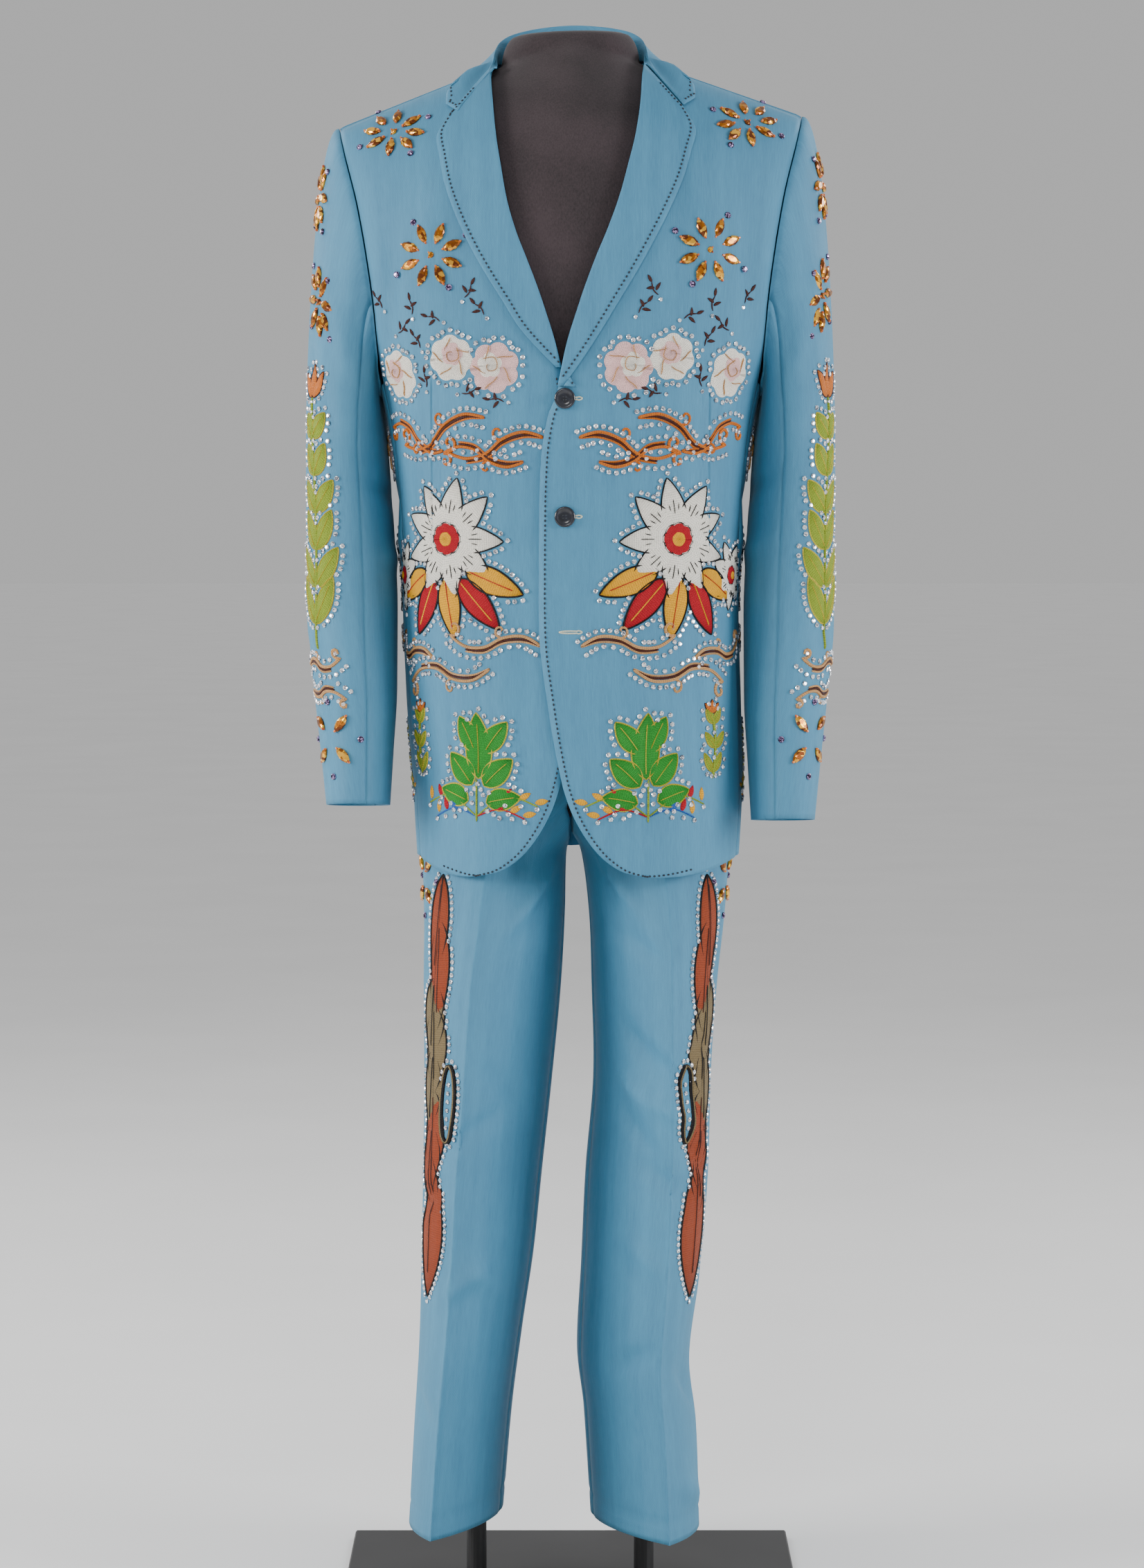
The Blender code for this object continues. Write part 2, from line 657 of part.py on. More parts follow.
def leg(turn, z, side):
    """A point on a trouser leg: turn is 0 at the front crease, 90 degrees outside, -90 inside."""
    table = LEG_LEFT if side > 0 else LEG_RIGHT
    sharp = read(table, "z", z, "crease")
    x = read(table, "z", z, "half") * math.copysign(abs(math.sin(turn)) ** (2 * sharp), math.sin(turn))
    y = -read(table, "z", z, "deep") * math.cos(turn)
    swing = math.radians(read(table, "z", z, "turn"))
    x, y = x * math.cos(swing) - y * math.sin(swing), y * math.cos(swing)
    return Vector((side * (x + read(table, "z", z, "mid_x")), y + read(table, "z", z, "mid_y"), z))


def leg_normal(turn, z, side):
    step = math.radians(3)
    across = leg(turn + step, z, side) - leg(turn - step, z, side)
    rise = leg(turn, min(z + 0.004, WAIST_SEAM_Z), side) - leg(turn, z - 0.004, side)
    normal = across.cross(rise).normalized()
    table = LEG_LEFT if side > 0 else LEG_RIGHT
    p = leg(turn, z, side)
    middle = Vector((side * read(table, "z", z, "mid_x"), read(table, "z", z, "mid_y"), z))
    return normal if normal.dot(p - middle) > 0 else -normal


def centre_turn(z, side, way):
    """The turn at which a leg's outline crosses the suit's middle, above the crotch."""
    if leg(-math.pi / 2 * way if way > 0 else math.pi * 1.5, z, side).x * side > SEAM:
        return -math.pi / 2 if way > 0 else math.pi * 1.5
    low, high = (-math.pi / 2, 0.5) if way > 0 else (math.pi * 1.5, math.pi - 0.5)
    for _ in range(40):
        middle = (low + high) / 2
        if leg(middle, z, side).x * side < SEAM / 2 + 0.0002:
            low = middle
        else:
            high = middle
    return high


def leg_panel(side, way):
    """A trouser front (way 1) or back (way -1), from the inside leg or middle seam to the side seam."""
    table = LEG_LEFT if side > 0 else LEG_RIGHT
    heights = [table[1][0], table[1][0] + HEM_TURN_UP] + column(table, "z")[1:]
    heights += [0.725, 0.740, 0.790, 0.880]
    rows = []
    for z in sorted(heights):
        first = centre_turn(z, side, way)
        last = math.pi / 2
        crease = 0.0 if way > 0 else math.pi
        turns = spread(first, crease, 5)[:-1] + spread(crease, last, 6)
        rows.append([(leg(t, z, side), leg_normal(t, z, side)) for t in turns])
    return shrink(rows, left=SEAM / 2, right=SEAM / 2)


def make_form():
    """The torso as level rings, a little inside the jacket, with a flat-topped neck stub."""
    sides = 28
    heights = column(FORM_OVAL, "z") + spread(1.130, 1.370, 8)
    heights += [1.385, 1.400, 1.415, 1.428, 1.440, 1.457, 1.4645, FORM_TOP_Z]
    points = [form_ring(z, sides) for z in heights]
    flat = [p for ring in points for p in ring]
    faces = []
    for i in range(len(points) - 1):
        for j in range(sides):
            a, b = i * sides + j, i * sides + (j + 1) % sides
            faces.append((a, b, b + sides, a + sides))
    faces.append(tuple(reversed(range(sides))))
    faces.append(tuple(range(len(flat) - sides, len(flat))))
    return make_object("dress_form", flat, faces, "form")


def form_ring(z, sides):
    """A level ring of the torso: an oval up to the waist, then the jacket's form drawn inwards."""
    reach = min(
        armhole_x(max(z, 1.165), ARMHOLE_FRONT) - 0.004,
        read(BODY, "z", z, "half") - FORM_CLEAR,
        (RIDGE_TOP - FORM_LOWER - z) / RIDGE_FALL,
    )
    reach = max(reach, NECK_HALF)
    upper = smooth(z, 1.00, 1.13)
    oval = [read(FORM_OVAL, "z", z, name) for name in ("half", "deep", "mid_y")]
    stub_share = 1 - 0.12 * smooth(z, FORM_TOP_Z - 0.012, FORM_TOP_Z)
    ring = []
    for k in range(sides):
        turn = 2 * math.pi * (k + 0.5) / sides
        cosine, sine = math.cos(turn), math.sin(turn)
        front = sine < 0
        low = Vector((oval[0] * cosine, oval[2] + oval[1] * sine, z))
        x = reach * math.copysign(abs(cosine) ** 0.85, cosine)
        at = min(z + FORM_LOWER, ridge_z(x))
        p = on_body(min(abs(x), read(BODY, "z", z, "half")), at, 1, front)[0]
        y = p.y + (FORM_CLEAR if front else -FORM_CLEAR)
        y = RIDGE_Y if (y - RIDGE_Y) * (p.y - RIDGE_Y) < 0 else y
        y = RIDGE_Y + (y - RIDGE_Y) * math.sqrt(max(1 - (abs(x) / reach) ** 8, 0))
        if z > 1.38 and abs(x) < NECK_HALF:
            stub = math.sqrt(1 - (x / NECK_HALF) ** 2)
            y = min(y, RIDGE_Y - NECK_FRONT * stub) if front else max(y, RIDGE_Y + NECK_BACK * stub)
        high = Vector((x * stub_share, RIDGE_Y + (y - RIDGE_Y) * stub_share, z))
        ring.append(low.lerp(high, upper))
    return ring


def stone_shape(tree, place, normal, way):
    """A pointed oval stone as points and faces, its root sunk into the cloth under each corner."""
    long_half, wide_half, high = STONE
    across = normal.cross(way).normalized()
    ahead = across.cross(normal).normalized()
    top_point = tree.ray_cast(place + normal * 0.02, -normal)[0]
    points = []
    for scale in (1.0, 0.58):
        for k in range(8):
            turn = 2 * math.pi * k / 8
            u = long_half * math.cos(turn) * scale
            v = wide_half * math.copysign(abs(math.sin(turn)) ** 1.25, math.sin(turn)) * scale
            p = top_point + ahead * u + across * v
            if scale == 1.0:
                hit = tree.ray_cast(p + normal * 0.02, -normal)[0]
                points.append(hit - normal * STONE_ROOT)
            else:
                points.append(p + normal * high)
    faces = [tuple(reversed(range(8))), tuple(range(8, 16))]
    faces += [(k, (k + 1) % 8, (k + 1) % 8 + 8, k + 8) for k in range(8)]
    if volume_of(points, faces) < 0:
        faces = [tuple(reversed(face)) for face in faces]
    return points, faces


def flower(centre_at, count, spin):
    """The places of one flower's stones; centre_at gives point and normal at (u, v) metres."""
    places = []
    for k in range(count):
        turn = math.radians(spin) + 2 * math.pi * k / count
        u, v = STONE_RING * math.cos(turn), STONE_RING * math.sin(turn)
        place, normal = centre_at(u, v)
        ahead, _ = centre_at(u * 1.1, v * 1.1)
        places.append((lean(place), normal, lean(ahead) - lean(place)))
    return places


def add_stones(obj, places, solver="EXACT"):
    """Raises stones from a panel by a union with one mesh that holds them all."""
    corners = [v.co.copy() for v in obj.data.vertices]
    tree = BVHTree.FromPolygons(corners, [tuple(f.vertices) for f in obj.data.polygons])
    points, faces = [], []
    for place, normal, way in places:
        some_points, some_faces = stone_shape(tree, place, normal, way)
        faces += [tuple(len(points) + k for k in face) for face in some_faces]
        points += some_points
    mesh = bpy.data.meshes.new(obj.name + "_stones")
    mesh.from_pydata([tuple(p) for p in points], [], faces)
    tool = bpy.data.objects.new(obj.name + "_stones", mesh)
    cutters.objects.link(tool)
    tool.hide_render = True
    tool.display_type = "WIRE"
    union = obj.modifiers.new("stones", "BOOLEAN")
    union.operation = "UNION"
    union.object = tool
    union.solver = solver


def make_box(name, size, z):
    bpy.ops.mesh.primitive_cube_add(size=1, location=(0, 0, z + size[2] / 2))
    obj = bpy.context.active_object
    obj.name = name
    obj.scale = size
    bpy.ops.object.transform_apply(location=False, rotation=False, scale=True)
    for other in obj.users_collection:
        other.objects.unlink(obj)
    parts.objects.link(obj)
    obj.data.materials.append(material("stand"))
    return obj


def make_cylinder(name, radius, low, high, finish, sides=20):
    middle = (Vector(low) + Vector(high)) / 2
    bpy.ops.mesh.primitive_cylinder_add(
        vertices=sides, radius=radius, depth=(Vector(high) - Vector(low)).length, location=middle
    )
    obj = bpy.context.active_object
    obj.name = name
    for other in obj.users_collection:
        other.objects.unlink(obj)
    parts.objects.link(obj)
    obj.data.materials.append(material(finish))
    obj.data.shade_smooth()
    obj.data.set_sharp_from_angle(angle=math.radians(40))
    return obj


def collection(name):
    made = bpy.data.collections.new(name)
    bpy.context.scene.collection.children.link(made)
    return made


def make_jacket():
    for side, word in ((1, "left"), (-1, "right")):
        front = make_wall("jacket_front_" + word, front_panel(side))
        stones = []
        for (z, x), spin in ((CHEST_FLOWER, 22), (SHOULDER_FLOWER, 8)):

            def centre_at(u, v, x=x, z=z):
                rise = on_body(x, z, side, True)[1].cross(Vector((side, 0, 0))).normalized()
                p, n = on_body(x + u, z + v * abs(rise.z), side, True)
                return p + n * front_lift(p, side), n

            stones += flower(centre_at, 8, spin)
        add_stones(front, stones)
        make_wall("jacket_back_" + word, back_panel(side))
        make_wall("jacket_side_" + word, side_panel(side))
        make_wall("lapel_" + word, lapel(side))


def make_collar():
    half = collar_sections()
    whole = half + [[Vector((-p.x, p.y, p.z)) for p in line] for line in half[-2::-1]]
    last = len(whole) - 1
    grid = []
    for k, line in enumerate(whole):
        row = []
        for j, p in enumerate(line):
            before, after = line[max(j - 1, 0)], line[min(j + 1, len(line) - 1)]
            back, ahead = whole[max(k - 1, 0)][j], whole[min(k + 1, last)][j]
            row.append((p, (ahead - back).cross(after - before).normalized()))
        grid.append(row)
    for row, side in ((grid[0], 1), (grid[last], -1)):
        for j, (x, z) in enumerate(GORGE):
            row[j] = (row[j][0], on_body(x, z, side, True)[1])
    make_wall("collar", grid)


def make_sleeves():
    full = 2 * math.pi
    for side, word in ((1, "left"), (-1, "right")):
        top = make_wall(
            "sleeve_top_" + word, sleeve_panel(SLEEVE_BACK_SEAM, SLEEVE_FRONT_SEAM, 15, side)
        )
        make_wall(
            "sleeve_under_" + word,
            sleeve_panel(SLEEVE_FRONT_SEAM, SLEEVE_BACK_SEAM + full, 9, side),
        )
        stones = []
        for z, turn, count in SLEEVE_FLOWERS[1:]:

            def centre_at(u, v, z=z, turn=math.radians(turn)):
                down = down_at(z + v, turn, side)
                here, step = sleeve(turn, down, side), sleeve(turn + 0.1, down, side)
                away = turn + u * 0.1 / (step - here).length
                return sleeve(away, down, side), sleeve_normal(away, down, side)

            stones += flower(centre_at, count, 22 if count == 8 else 45)
        add_stones(top, stones)


def down_at(z, turn, side):
    low, high = 0.0, 2.0
    for _ in range(30):
        middle = (low + high) / 2
        if sleeve(turn, middle, side).z > z:
            low = middle
        else:
            high = middle
    return low


def make_trousers():
    for side, word in ((1, "left"), (-1, "right")):
        front = make_wall("trouser_front_" + word, leg_panel(side, 1))
        make_wall("trouser_back_" + word, leg_panel(side, -1))
        z, turn = LEG_FLOWER

        def centre_at(u, v):
            here, step = leg(math.radians(turn), z, side), leg(math.radians(turn) + 0.1, z, side)
            away = math.radians(turn) + u * 0.1 / (step - here).length
            return leg(away, z + v, side), leg_normal(away, z + v, side)

        # The exact solver turns the right front inside out, so both use the other one.
        add_stones(front, flower(centre_at, 4, 45), "MANIFOLD")
    rows = []
    for z in (WAIST_SEAM_Z + SEAM, WAIST_TOP_Z):
        row = []
        for turn in spread(0, 2 * math.pi, 33)[:-1]:
            p = leg(turn, WAIST_SEAM_Z, 1)
            normal = leg_normal(turn, WAIST_SEAM_Z, 1)
            row.append((Vector((p.x, p.y, z)), Vector((normal.x, normal.y, 0)).normalized()))
        rows.append(row)
    make_band("waistband", rows)


def make_band(name, rows):
    """A closed band: like make_wall, but its columns run all round."""
    cols = len(rows[0])
    outer = [p for row in rows for p, n in row]
    points = outer + [p - n * WALL for row in rows for p, n in row]
    under = len(outer)
    faces = []
    for j in range(cols):
        k = (j + 1) % cols
        faces.append((j, k, cols + k, cols + j))
        faces.append((under + cols + j, under + cols + k, under + k, under + j))
        faces.append((k, j, under + j, under + k))
        faces.append((cols + j, cols + k, under + cols + k, under + cols + j))
    if volume_of(points, faces) < 0:
        faces = [tuple(reversed(face)) for face in faces]
    return make_object(name, points, faces, "cloth")


def make_buttons():
    for name, z in BUTTON_HEIGHTS.items():
        p, normal = on_body(abs(BUTTON_X), z, -1, True)
        low = p + normal * (LIE + 0.0004)
        low.y = min(low.y, p.y - LIE - 0.0004)
        high = Vector((low.x, low.y - BUTTON_THICK, low.z))
        obj = make_cylinder(name, BUTTON_RADIUS, low, high, "button")
        obj.rotation_euler = (math.radians(90), 0, 0)


def make_stand():
    base = make_box("base_plate", BASE_SIZE, 0)
    corner = base.modifiers.new("corner", "BEVEL")
    corner.width = BASE_EDGE
    corner.segments = 1
    for word, x in ROD_X.items():
        low = (x, 0.010, BASE_SIZE[2] + SEAM)
        high = (x, 0.010, FORM_BOTTOM_Z - SEAM)
        make_cylinder("rod_" + word, ROD_RADIUS, low, high, "stand")


clear_scene()
parts = collection("western_suit")
cutters = collection("stones")
armhole = armhole_loop()
make_form()
make_stand()
make_trousers()
make_jacket()
make_collar()
make_sleeves()
make_buttons()
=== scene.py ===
import math
from collections import namedtuple
from functools import partial

import bpy
import numpy as np
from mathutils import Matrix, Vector
from mathutils.bvhtree import BVHTree
from mathutils.geometry import barycentric_transform


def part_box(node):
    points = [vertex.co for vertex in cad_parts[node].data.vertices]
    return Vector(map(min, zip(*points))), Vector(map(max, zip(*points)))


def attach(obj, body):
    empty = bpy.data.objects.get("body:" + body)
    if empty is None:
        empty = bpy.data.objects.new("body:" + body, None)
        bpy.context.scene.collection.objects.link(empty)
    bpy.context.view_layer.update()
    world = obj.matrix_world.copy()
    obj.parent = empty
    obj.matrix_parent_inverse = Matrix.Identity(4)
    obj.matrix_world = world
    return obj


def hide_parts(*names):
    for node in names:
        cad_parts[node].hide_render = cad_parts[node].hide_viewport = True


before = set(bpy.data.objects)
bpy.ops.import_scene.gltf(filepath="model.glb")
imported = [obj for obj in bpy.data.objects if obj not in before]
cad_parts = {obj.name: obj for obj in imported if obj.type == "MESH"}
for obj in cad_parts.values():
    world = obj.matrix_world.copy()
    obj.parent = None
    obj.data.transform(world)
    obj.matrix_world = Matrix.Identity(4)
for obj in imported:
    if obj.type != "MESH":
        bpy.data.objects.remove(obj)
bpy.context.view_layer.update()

# Camera, floor and light
# A plain pale floor, wide soft lamps from both sides as in a studio, and the camera a little above
# the jacket's waist, tipped down so that the trousers' hems show.
VIEW_FROM, VIEW_AT, VIEW_LENS, VIEW_HIGH = (0.0, -3.8, 1.06), (0.0013, 0.0, 0.770), 92.9, 36.0
FAR = 90.0


def in_scene(name, data):
    made = bpy.data.objects.new(name, data)
    bpy.context.scene.collection.objects.link(made)
    return made


def aimed(obj, place, at):
    obj.location = place
    obj.rotation_euler = (Vector(at) - obj.location).to_track_quat("-Z", "Y").to_euler()


lens = bpy.data.cameras.new("camera")
lens.lens, lens.sensor_fit, lens.sensor_height, lens.clip_end = VIEW_LENS, "VERTICAL", VIEW_HIGH, FAR
camera = in_scene("camera", lens)
aimed(camera, VIEW_FROM, VIEW_AT)
bpy.context.scene.camera = camera

LAMPS_AT = (0.0, 0.0, 0.85)
LAMPS = [
    ("side_left", (-3.0, -1.1, 1.6), 1.3, 112.0, (1.0, 0.99, 0.97)),
    ("side_right", (3.0, -1.3, 1.5), 1.3, 92.0, (0.98, 0.99, 1.0)),
    ("front", (-0.9, -4.2, 2.9), 1.2, 44.0, (1.0, 0.99, 0.97)),
    ("rim_left", (-2.0, 2.0, 2.2), 1.2, 26.0, (1.0, 1.0, 1.0)),
    ("rim_right", (2.0, 2.0, 2.2), 1.2, 26.0, (1.0, 1.0, 1.0)),
]
for name, place, size, power, colour in LAMPS:
    glow = bpy.data.lights.new(name, "AREA")
    glow.size, glow.energy, glow.color = size, power, colour
    lamp = in_scene(name, glow)
    lamp.visible_camera = False
    aimed(lamp, place, LAMPS_AT)


def feed(tree, made, inputs):
    """Gives each named socket of a node a plain value, or links it to another node's output."""
    for key, value in inputs.items():
        if isinstance(value, bpy.types.NodeSocket):
            tree.links.new(value, made.inputs[key])
        else:
            made.inputs[key].default_value = value
    return made


def node(tree, kind, inputs=(), **settings):
    made = tree.nodes.new(kind)
    for key, value in settings.items():
        setattr(made, key, value)
    return feed(tree, made, dict(inputs))


def noise(tree, scale, detail=2.0, at=None, **more):
    """Even noise over the piece itself, or over the given coordinates."""
    at = at or node(tree, "ShaderNodeTexCoord").outputs["Object"]
    sockets = {"Scale": scale, "Detail": detail, "Vector": at}
    sockets.update({key.capitalize(): value for key, value in more.items()})
    return node(tree, "ShaderNodeTexNoise", sockets).outputs["Fac"]


def ramp(tree, factor, *stops):
    """A colour ramp through (position, linear colour or grey) pairs."""
    made = node(tree, "ShaderNodeValToRGB", {"Fac": factor})
    elements = made.color_ramp.elements
    while len(elements) < len(stops):
        elements.new(0.5)
    for element, (at, colour) in zip(elements, stops):
        element.position = at
        element.color = (*(colour if isinstance(colour, tuple) else (colour,) * 3), 1.0)
    return made.outputs["Color"]


def new_material(name):
    made = bpy.data.materials.new(name)
    made.use_nodes = True
    return made, made.node_tree, made.node_tree.nodes["Principled BSDF"]


def make_mesh(name, points, faces, finish, smooth_faces=True):
    mesh = bpy.data.meshes.new(name)
    mesh.from_pydata([tuple(p) for p in points], [], faces)
    mesh.validate()
    mesh.materials.append(finish)
    if smooth_faces:
        mesh.shade_smooth()
    return in_scene(name, mesh)


world = bpy.data.worlds.new("studio")
world.use_nodes = True
bpy.context.scene.world = world
tree = world.node_tree
sky = node(tree, "ShaderNodeSeparateXYZ", {"Vector": node(tree, "ShaderNodeTexCoord").outputs["Generated"]})
feed(tree, tree.nodes["Background"], {
    "Strength": 1.0, "Color": ramp(tree, sky.outputs["Z"], (0.0, 0.50), (0.18, 0.50), (0.45, 0.66))})

floor_finish, tree, shader = new_material("floor")
cloud = noise(tree, 3.0, 3.0)
feed(tree, shader, {"Roughness": 0.85, "Base Color": ramp(tree, cloud, (0.3, 0.77), (0.7, 0.80))})
FLOOR = 36.0
corners = [(-FLOOR, -FLOOR, 0), (FLOOR, -FLOOR, 0), (FLOOR, FLOOR, 0), (-FLOOR, FLOOR, 0)]
make_mesh("floor", corners, [(0, 1, 2, 3)], floor_finish)

# Base plate and rods
# A steel plate and two straight tubes inside the trouser legs carry the form. Both are powder
# coated a matt black, with the fine orange-peel that such a coat has.


def bumped(tree, height, strength, distance, **more):
    sockets = {"Strength": strength, "Distance": distance, "Height": height, **more}
    return node(tree, "ShaderNodeBump", sockets).outputs["Normal"]


stand_finish, tree, shader = new_material("stand")
peel, cloud = noise(tree, 900.0), noise(tree, 9.0, 3.0)
feed(tree, shader, {
    "Base Color": ramp(tree, cloud, (0.3, (0.010, 0.010, 0.011)), (0.7, (0.017, 0.017, 0.018))),
    "Normal": bumped(tree, peel, 0.25, 0.0004), "Roughness": 0.46})
for name in ("base_plate", "rod_left", "rod_right"):
    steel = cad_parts[name]
    steel.data.materials.clear()
    steel.data.materials.append(stand_finish)

# Dress form
# A padded torso without limbs, covered with dark brown-grey jersey that is pulled tight and
# stitched down round a flat neck cap. It is lofted as level rings a little inside the jacket.
ROUND = 2.4
BODY = [
    ("z", "mid", "half", "front", "back"),
    (0.690, 0.007, 0.1505, 0.126, 0.134), (0.760, 0.007, 0.1545, 0.130, 0.134),
    (0.850, 0.003, 0.1570, 0.131, 0.129), (0.950, 0.000, 0.1575, 0.130, 0.117),
    (1.030, 0.000, 0.1620, 0.133, 0.112), (1.090, 0.000, 0.1680, 0.137, 0.116),
    (1.133, 0.000, 0.1760, 0.138, 0.122), (1.200, 0.000, 0.2000, 0.137, 0.128),
    (1.260, 0.000, 0.2110, 0.134, 0.130), (1.320, 0.000, 0.2230, 0.126, 0.128),
    (1.470, 0.000, 0.2450, 0.110, 0.118),
]
RIDGE_TOP, RIDGE_FALL, RIDGE_Y, RIDGE_ROUND, RIDGE_FROM = 1.4686, 0.371, 0.012, 0.150, (1.05, 1.20)
SHOULDER_X, SHOULDER_TILT, TILT_FROM = 0.2155, 0.026, (1.10, 1.35)
RIDGE_OUT = RIDGE_TOP - RIDGE_FALL * SHOULDER_X
ARM_LOW = 1.165
ARMHOLE_FRONT = [("z", "x"), (ARM_LOW, 0.1765), (1.210, 0.1800), (1.260, 0.1865), (1.315, 0.1965),
                 (1.360, 0.2085), (RIDGE_OUT, SHOULDER_X)]
FORM_OVAL = [
    ("z", "half", "deep", "mid_y"),
    (0.742, 0.103, 0.046, 0.008), (0.748, 0.109, 0.052, 0.008), (0.765, 0.114, 0.064, 0.007),
    (0.800, 0.120, 0.085, 0.006), (0.860, 0.128, 0.095, 0.005), (0.925, 0.1365, 0.1015, 0.004),
    (0.955, 0.1392, 0.1043, 0.004), (0.985, 0.1390, 0.1039, 0.004), (1.030, 0.142, 0.106, 0.002),
    (1.080, 0.150, 0.110, 0.002),
]
FORM_FOOT_Z, FORM_TOP_Z, FORM_EDGE = 0.742, 1.4690, 0.030
FORM_CLEAR, FORM_LOWER, FORM_IN, FORM_FROM = 0.0048, 0.0042, 0.004, (1.00, 1.13)
FORM_SQUARE, FORM_SHUT, FORM_TOP_IN = 0.85, 8, 0.26
NECK_Z, NECK_HALF, NECK_FRONT, NECK_BACK, NECK_BLEND = 1.38, 0.0640, 0.050, 0.040, 0.034
curves = {}


def share_of(value, low, high):
    return min(max((value - low) / (high - low), 0.0), 1.0)


def smooth(value, low, high):
    """0 below low, 1 above high, eased between."""
    t = share_of(value, low, high)
    return t * t * (3 - 2 * t)


def curve_of(xs, ys):
    """Slopes that keep a curve through the points even."""
    if xs[0] > xs[-1]:
        xs, ys = xs[::-1], ys[::-1]
    steps = [(ys[k + 1] - ys[k]) / (xs[k + 1] - xs[k]) for k in range(len(xs) - 1)]
    slopes = [steps[0]]
    slopes += [0.0 if a * b <= 0 else 2 * a * b / (a + b) for a, b in zip(steps, steps[1:])]
    return xs, ys, [*slopes, steps[-1]]


def read_curve(curve, at):
    xs, ys, slopes = curve
    if at <= xs[0]:
        return ys[0]
    if at >= xs[-1]:
        return ys[-1]
    i = 0
    while xs[i + 1] < at:
        i += 1
    h = xs[i + 1] - xs[i]
    t = (at - xs[i]) / h
    return ((1 + 2 * t) * (1 - t) ** 2 * ys[i] + t * (1 - t) ** 2 * h * slopes[i]
            + t * t * (3 - 2 * t) * ys[i + 1] + t * t * (t - 1) * h * slopes[i + 1])


def read(table, at, name):
    """The named column of a table at the value at of its first column."""
    key = (id(table), name)
    if key not in curves:
        column = table[0].index(name)
        curves[key] = curve_of([row[0] for row in table[1:]], [row[column] for row in table[1:]])
    return read_curve(curves[key], at)


def spread(low, high, count):
    return [low + (high - low) * k / (count - 1) for k in range(count)]


def ridge_z(x):
    return RIDGE_TOP - RIDGE_FALL * abs(x)


def turn_of(x, z):
    share = share_of(abs(x), 0.0, read(BODY, z, "half"))
    return math.acos(share ** (ROUND / 2))


def body(turn, z, side):
    """A point on the jacket: turn is 0 at the side, 90 degrees in front and -90 degrees behind."""
    half = read(BODY, z, "half")
    depth = read(BODY, z, "front" if turn > 0 else "back")
    x = half * max(math.cos(turn), 0.0) ** (2 / ROUND)
    y = depth * abs(math.sin(turn)) ** (2 / ROUND)
    under = share_of(ridge_z(x) - z, 0.0, RIDGE_ROUND)
    reach = math.sqrt(1 - (1 - under) ** 2)
    ridge_y = RIDGE_Y * smooth(z, *RIDGE_FROM)
    y = ridge_y + ((-y if turn > 0 else y) - ridge_y) * reach
    return Vector((side * x + read(BODY, z, "mid"), y, z))


def lean(p):
    """The right shoulder hangs a little lower than the left."""
    return Vector((p.x, p.y, p.z + SHOULDER_TILT * p.x * smooth(p.z, *TILT_FROM)))


def form_ring(z, sides):
    """A level ring of the form: an oval below the waist, and above it the jacket's own round."""
    reach = min(read(ARMHOLE_FRONT, max(z, ARM_LOW), "x") - FORM_IN, read(BODY, z, "half") - FORM_CLEAR,
                (RIDGE_TOP - FORM_LOWER - z) / RIDGE_FALL)
    reach = max(reach, NECK_HALF)
    oval = [read(FORM_OVAL, z, name) for name in ("half", "deep", "mid_y")]
    climb = share_of(z, FORM_TOP_Z - FORM_EDGE, FORM_TOP_Z)
    stub_share = 1 - FORM_TOP_IN * (1 - math.sqrt(1 - climb * climb))
    ring = []
    for k in range(sides):
        turn = 2 * math.pi * (k + 0.5) / sides
        cosine, sine = math.cos(turn), math.sin(turn)
        front = sine < 0
        low = Vector((oval[0] * cosine, oval[2] + oval[1] * sine, z))
        x = reach * math.copysign(abs(cosine) ** FORM_SQUARE, cosine)
        at = min(z + FORM_LOWER, ridge_z(x))
        p = body(turn_of(min(abs(x), read(BODY, z, "half")), at) * (1 if front else -1), at, 1)
        y = p.y + (FORM_CLEAR if front else -FORM_CLEAR)
        y = RIDGE_Y if (y - RIDGE_Y) * (p.y - RIDGE_Y) < 0 else y
        y = RIDGE_Y + (y - RIDGE_Y) * math.sqrt(max(1 - (abs(x) / reach) ** FORM_SHUT, 0))
        if z > NECK_Z and abs(x) < NECK_HALF:
            stub = math.sqrt(1 - (x / NECK_HALF) ** 2)
            neck_y = RIDGE_Y - NECK_FRONT * stub if front else RIDGE_Y + NECK_BACK * stub
            blend = max(NECK_BLEND - abs(y - neck_y), 0.0)
            y = min(y, neck_y) - blend ** 2 / (4 * NECK_BLEND) if front else max(y, neck_y)
        high = Vector((x * stub_share, RIDGE_Y + (y - RIDGE_Y) * stub_share, z))
        ring.append(low.lerp(high, smooth(z, *FORM_FROM)))
    return ring


def grid_faces(rows, width, closed=False, first=0):
    """Faces between rows of points, all the way round if closed."""
    faces = []
    for i in range(rows - 1):
        for j in range(width if closed else width - 1):
            a, b = first + i * width + j, first + i * width + (j + 1) % width
            faces.append((a, b, b + width, a + width))
    return faces


def stretched(tree, at, scale=(1.0, 1.0, 1.0), turn=0.0):
    sockets = {"Vector": at, "Scale": scale, "Rotation": (0.0, 0.0, turn)}
    return node(tree, "ShaderNodeMapping", sockets).outputs[0]


def mixed(tree, share, one, two, **settings):
    sockets = {"Factor": share, "A": one, "B": two}
    return node(tree, "ShaderNodeMix", sockets, **settings).outputs["Result"]


jersey, tree, shader = new_material("jersey")
spot = node(tree, "ShaderNodeTexCoord").outputs["Object"]
knit = noise(tree, 800.0, 3.0, stretched(tree, spot, (1.0, 1.0, 0.45)), roughness=0.7)
tone = mixed(tree, 0.5, knit, noise(tree, 14.0, 4.0))
feed(tree, shader, {
    "Base Color": ramp(tree, tone, (0.36, (0.010, 0.006, 0.0075)), (0.64, (0.038, 0.025, 0.029))),
    "Normal": bumped(tree, knit, 0.35, 0.0005),
    "Roughness": 0.92, "Sheen Weight": 0.08, "Sheen Roughness": 0.5})

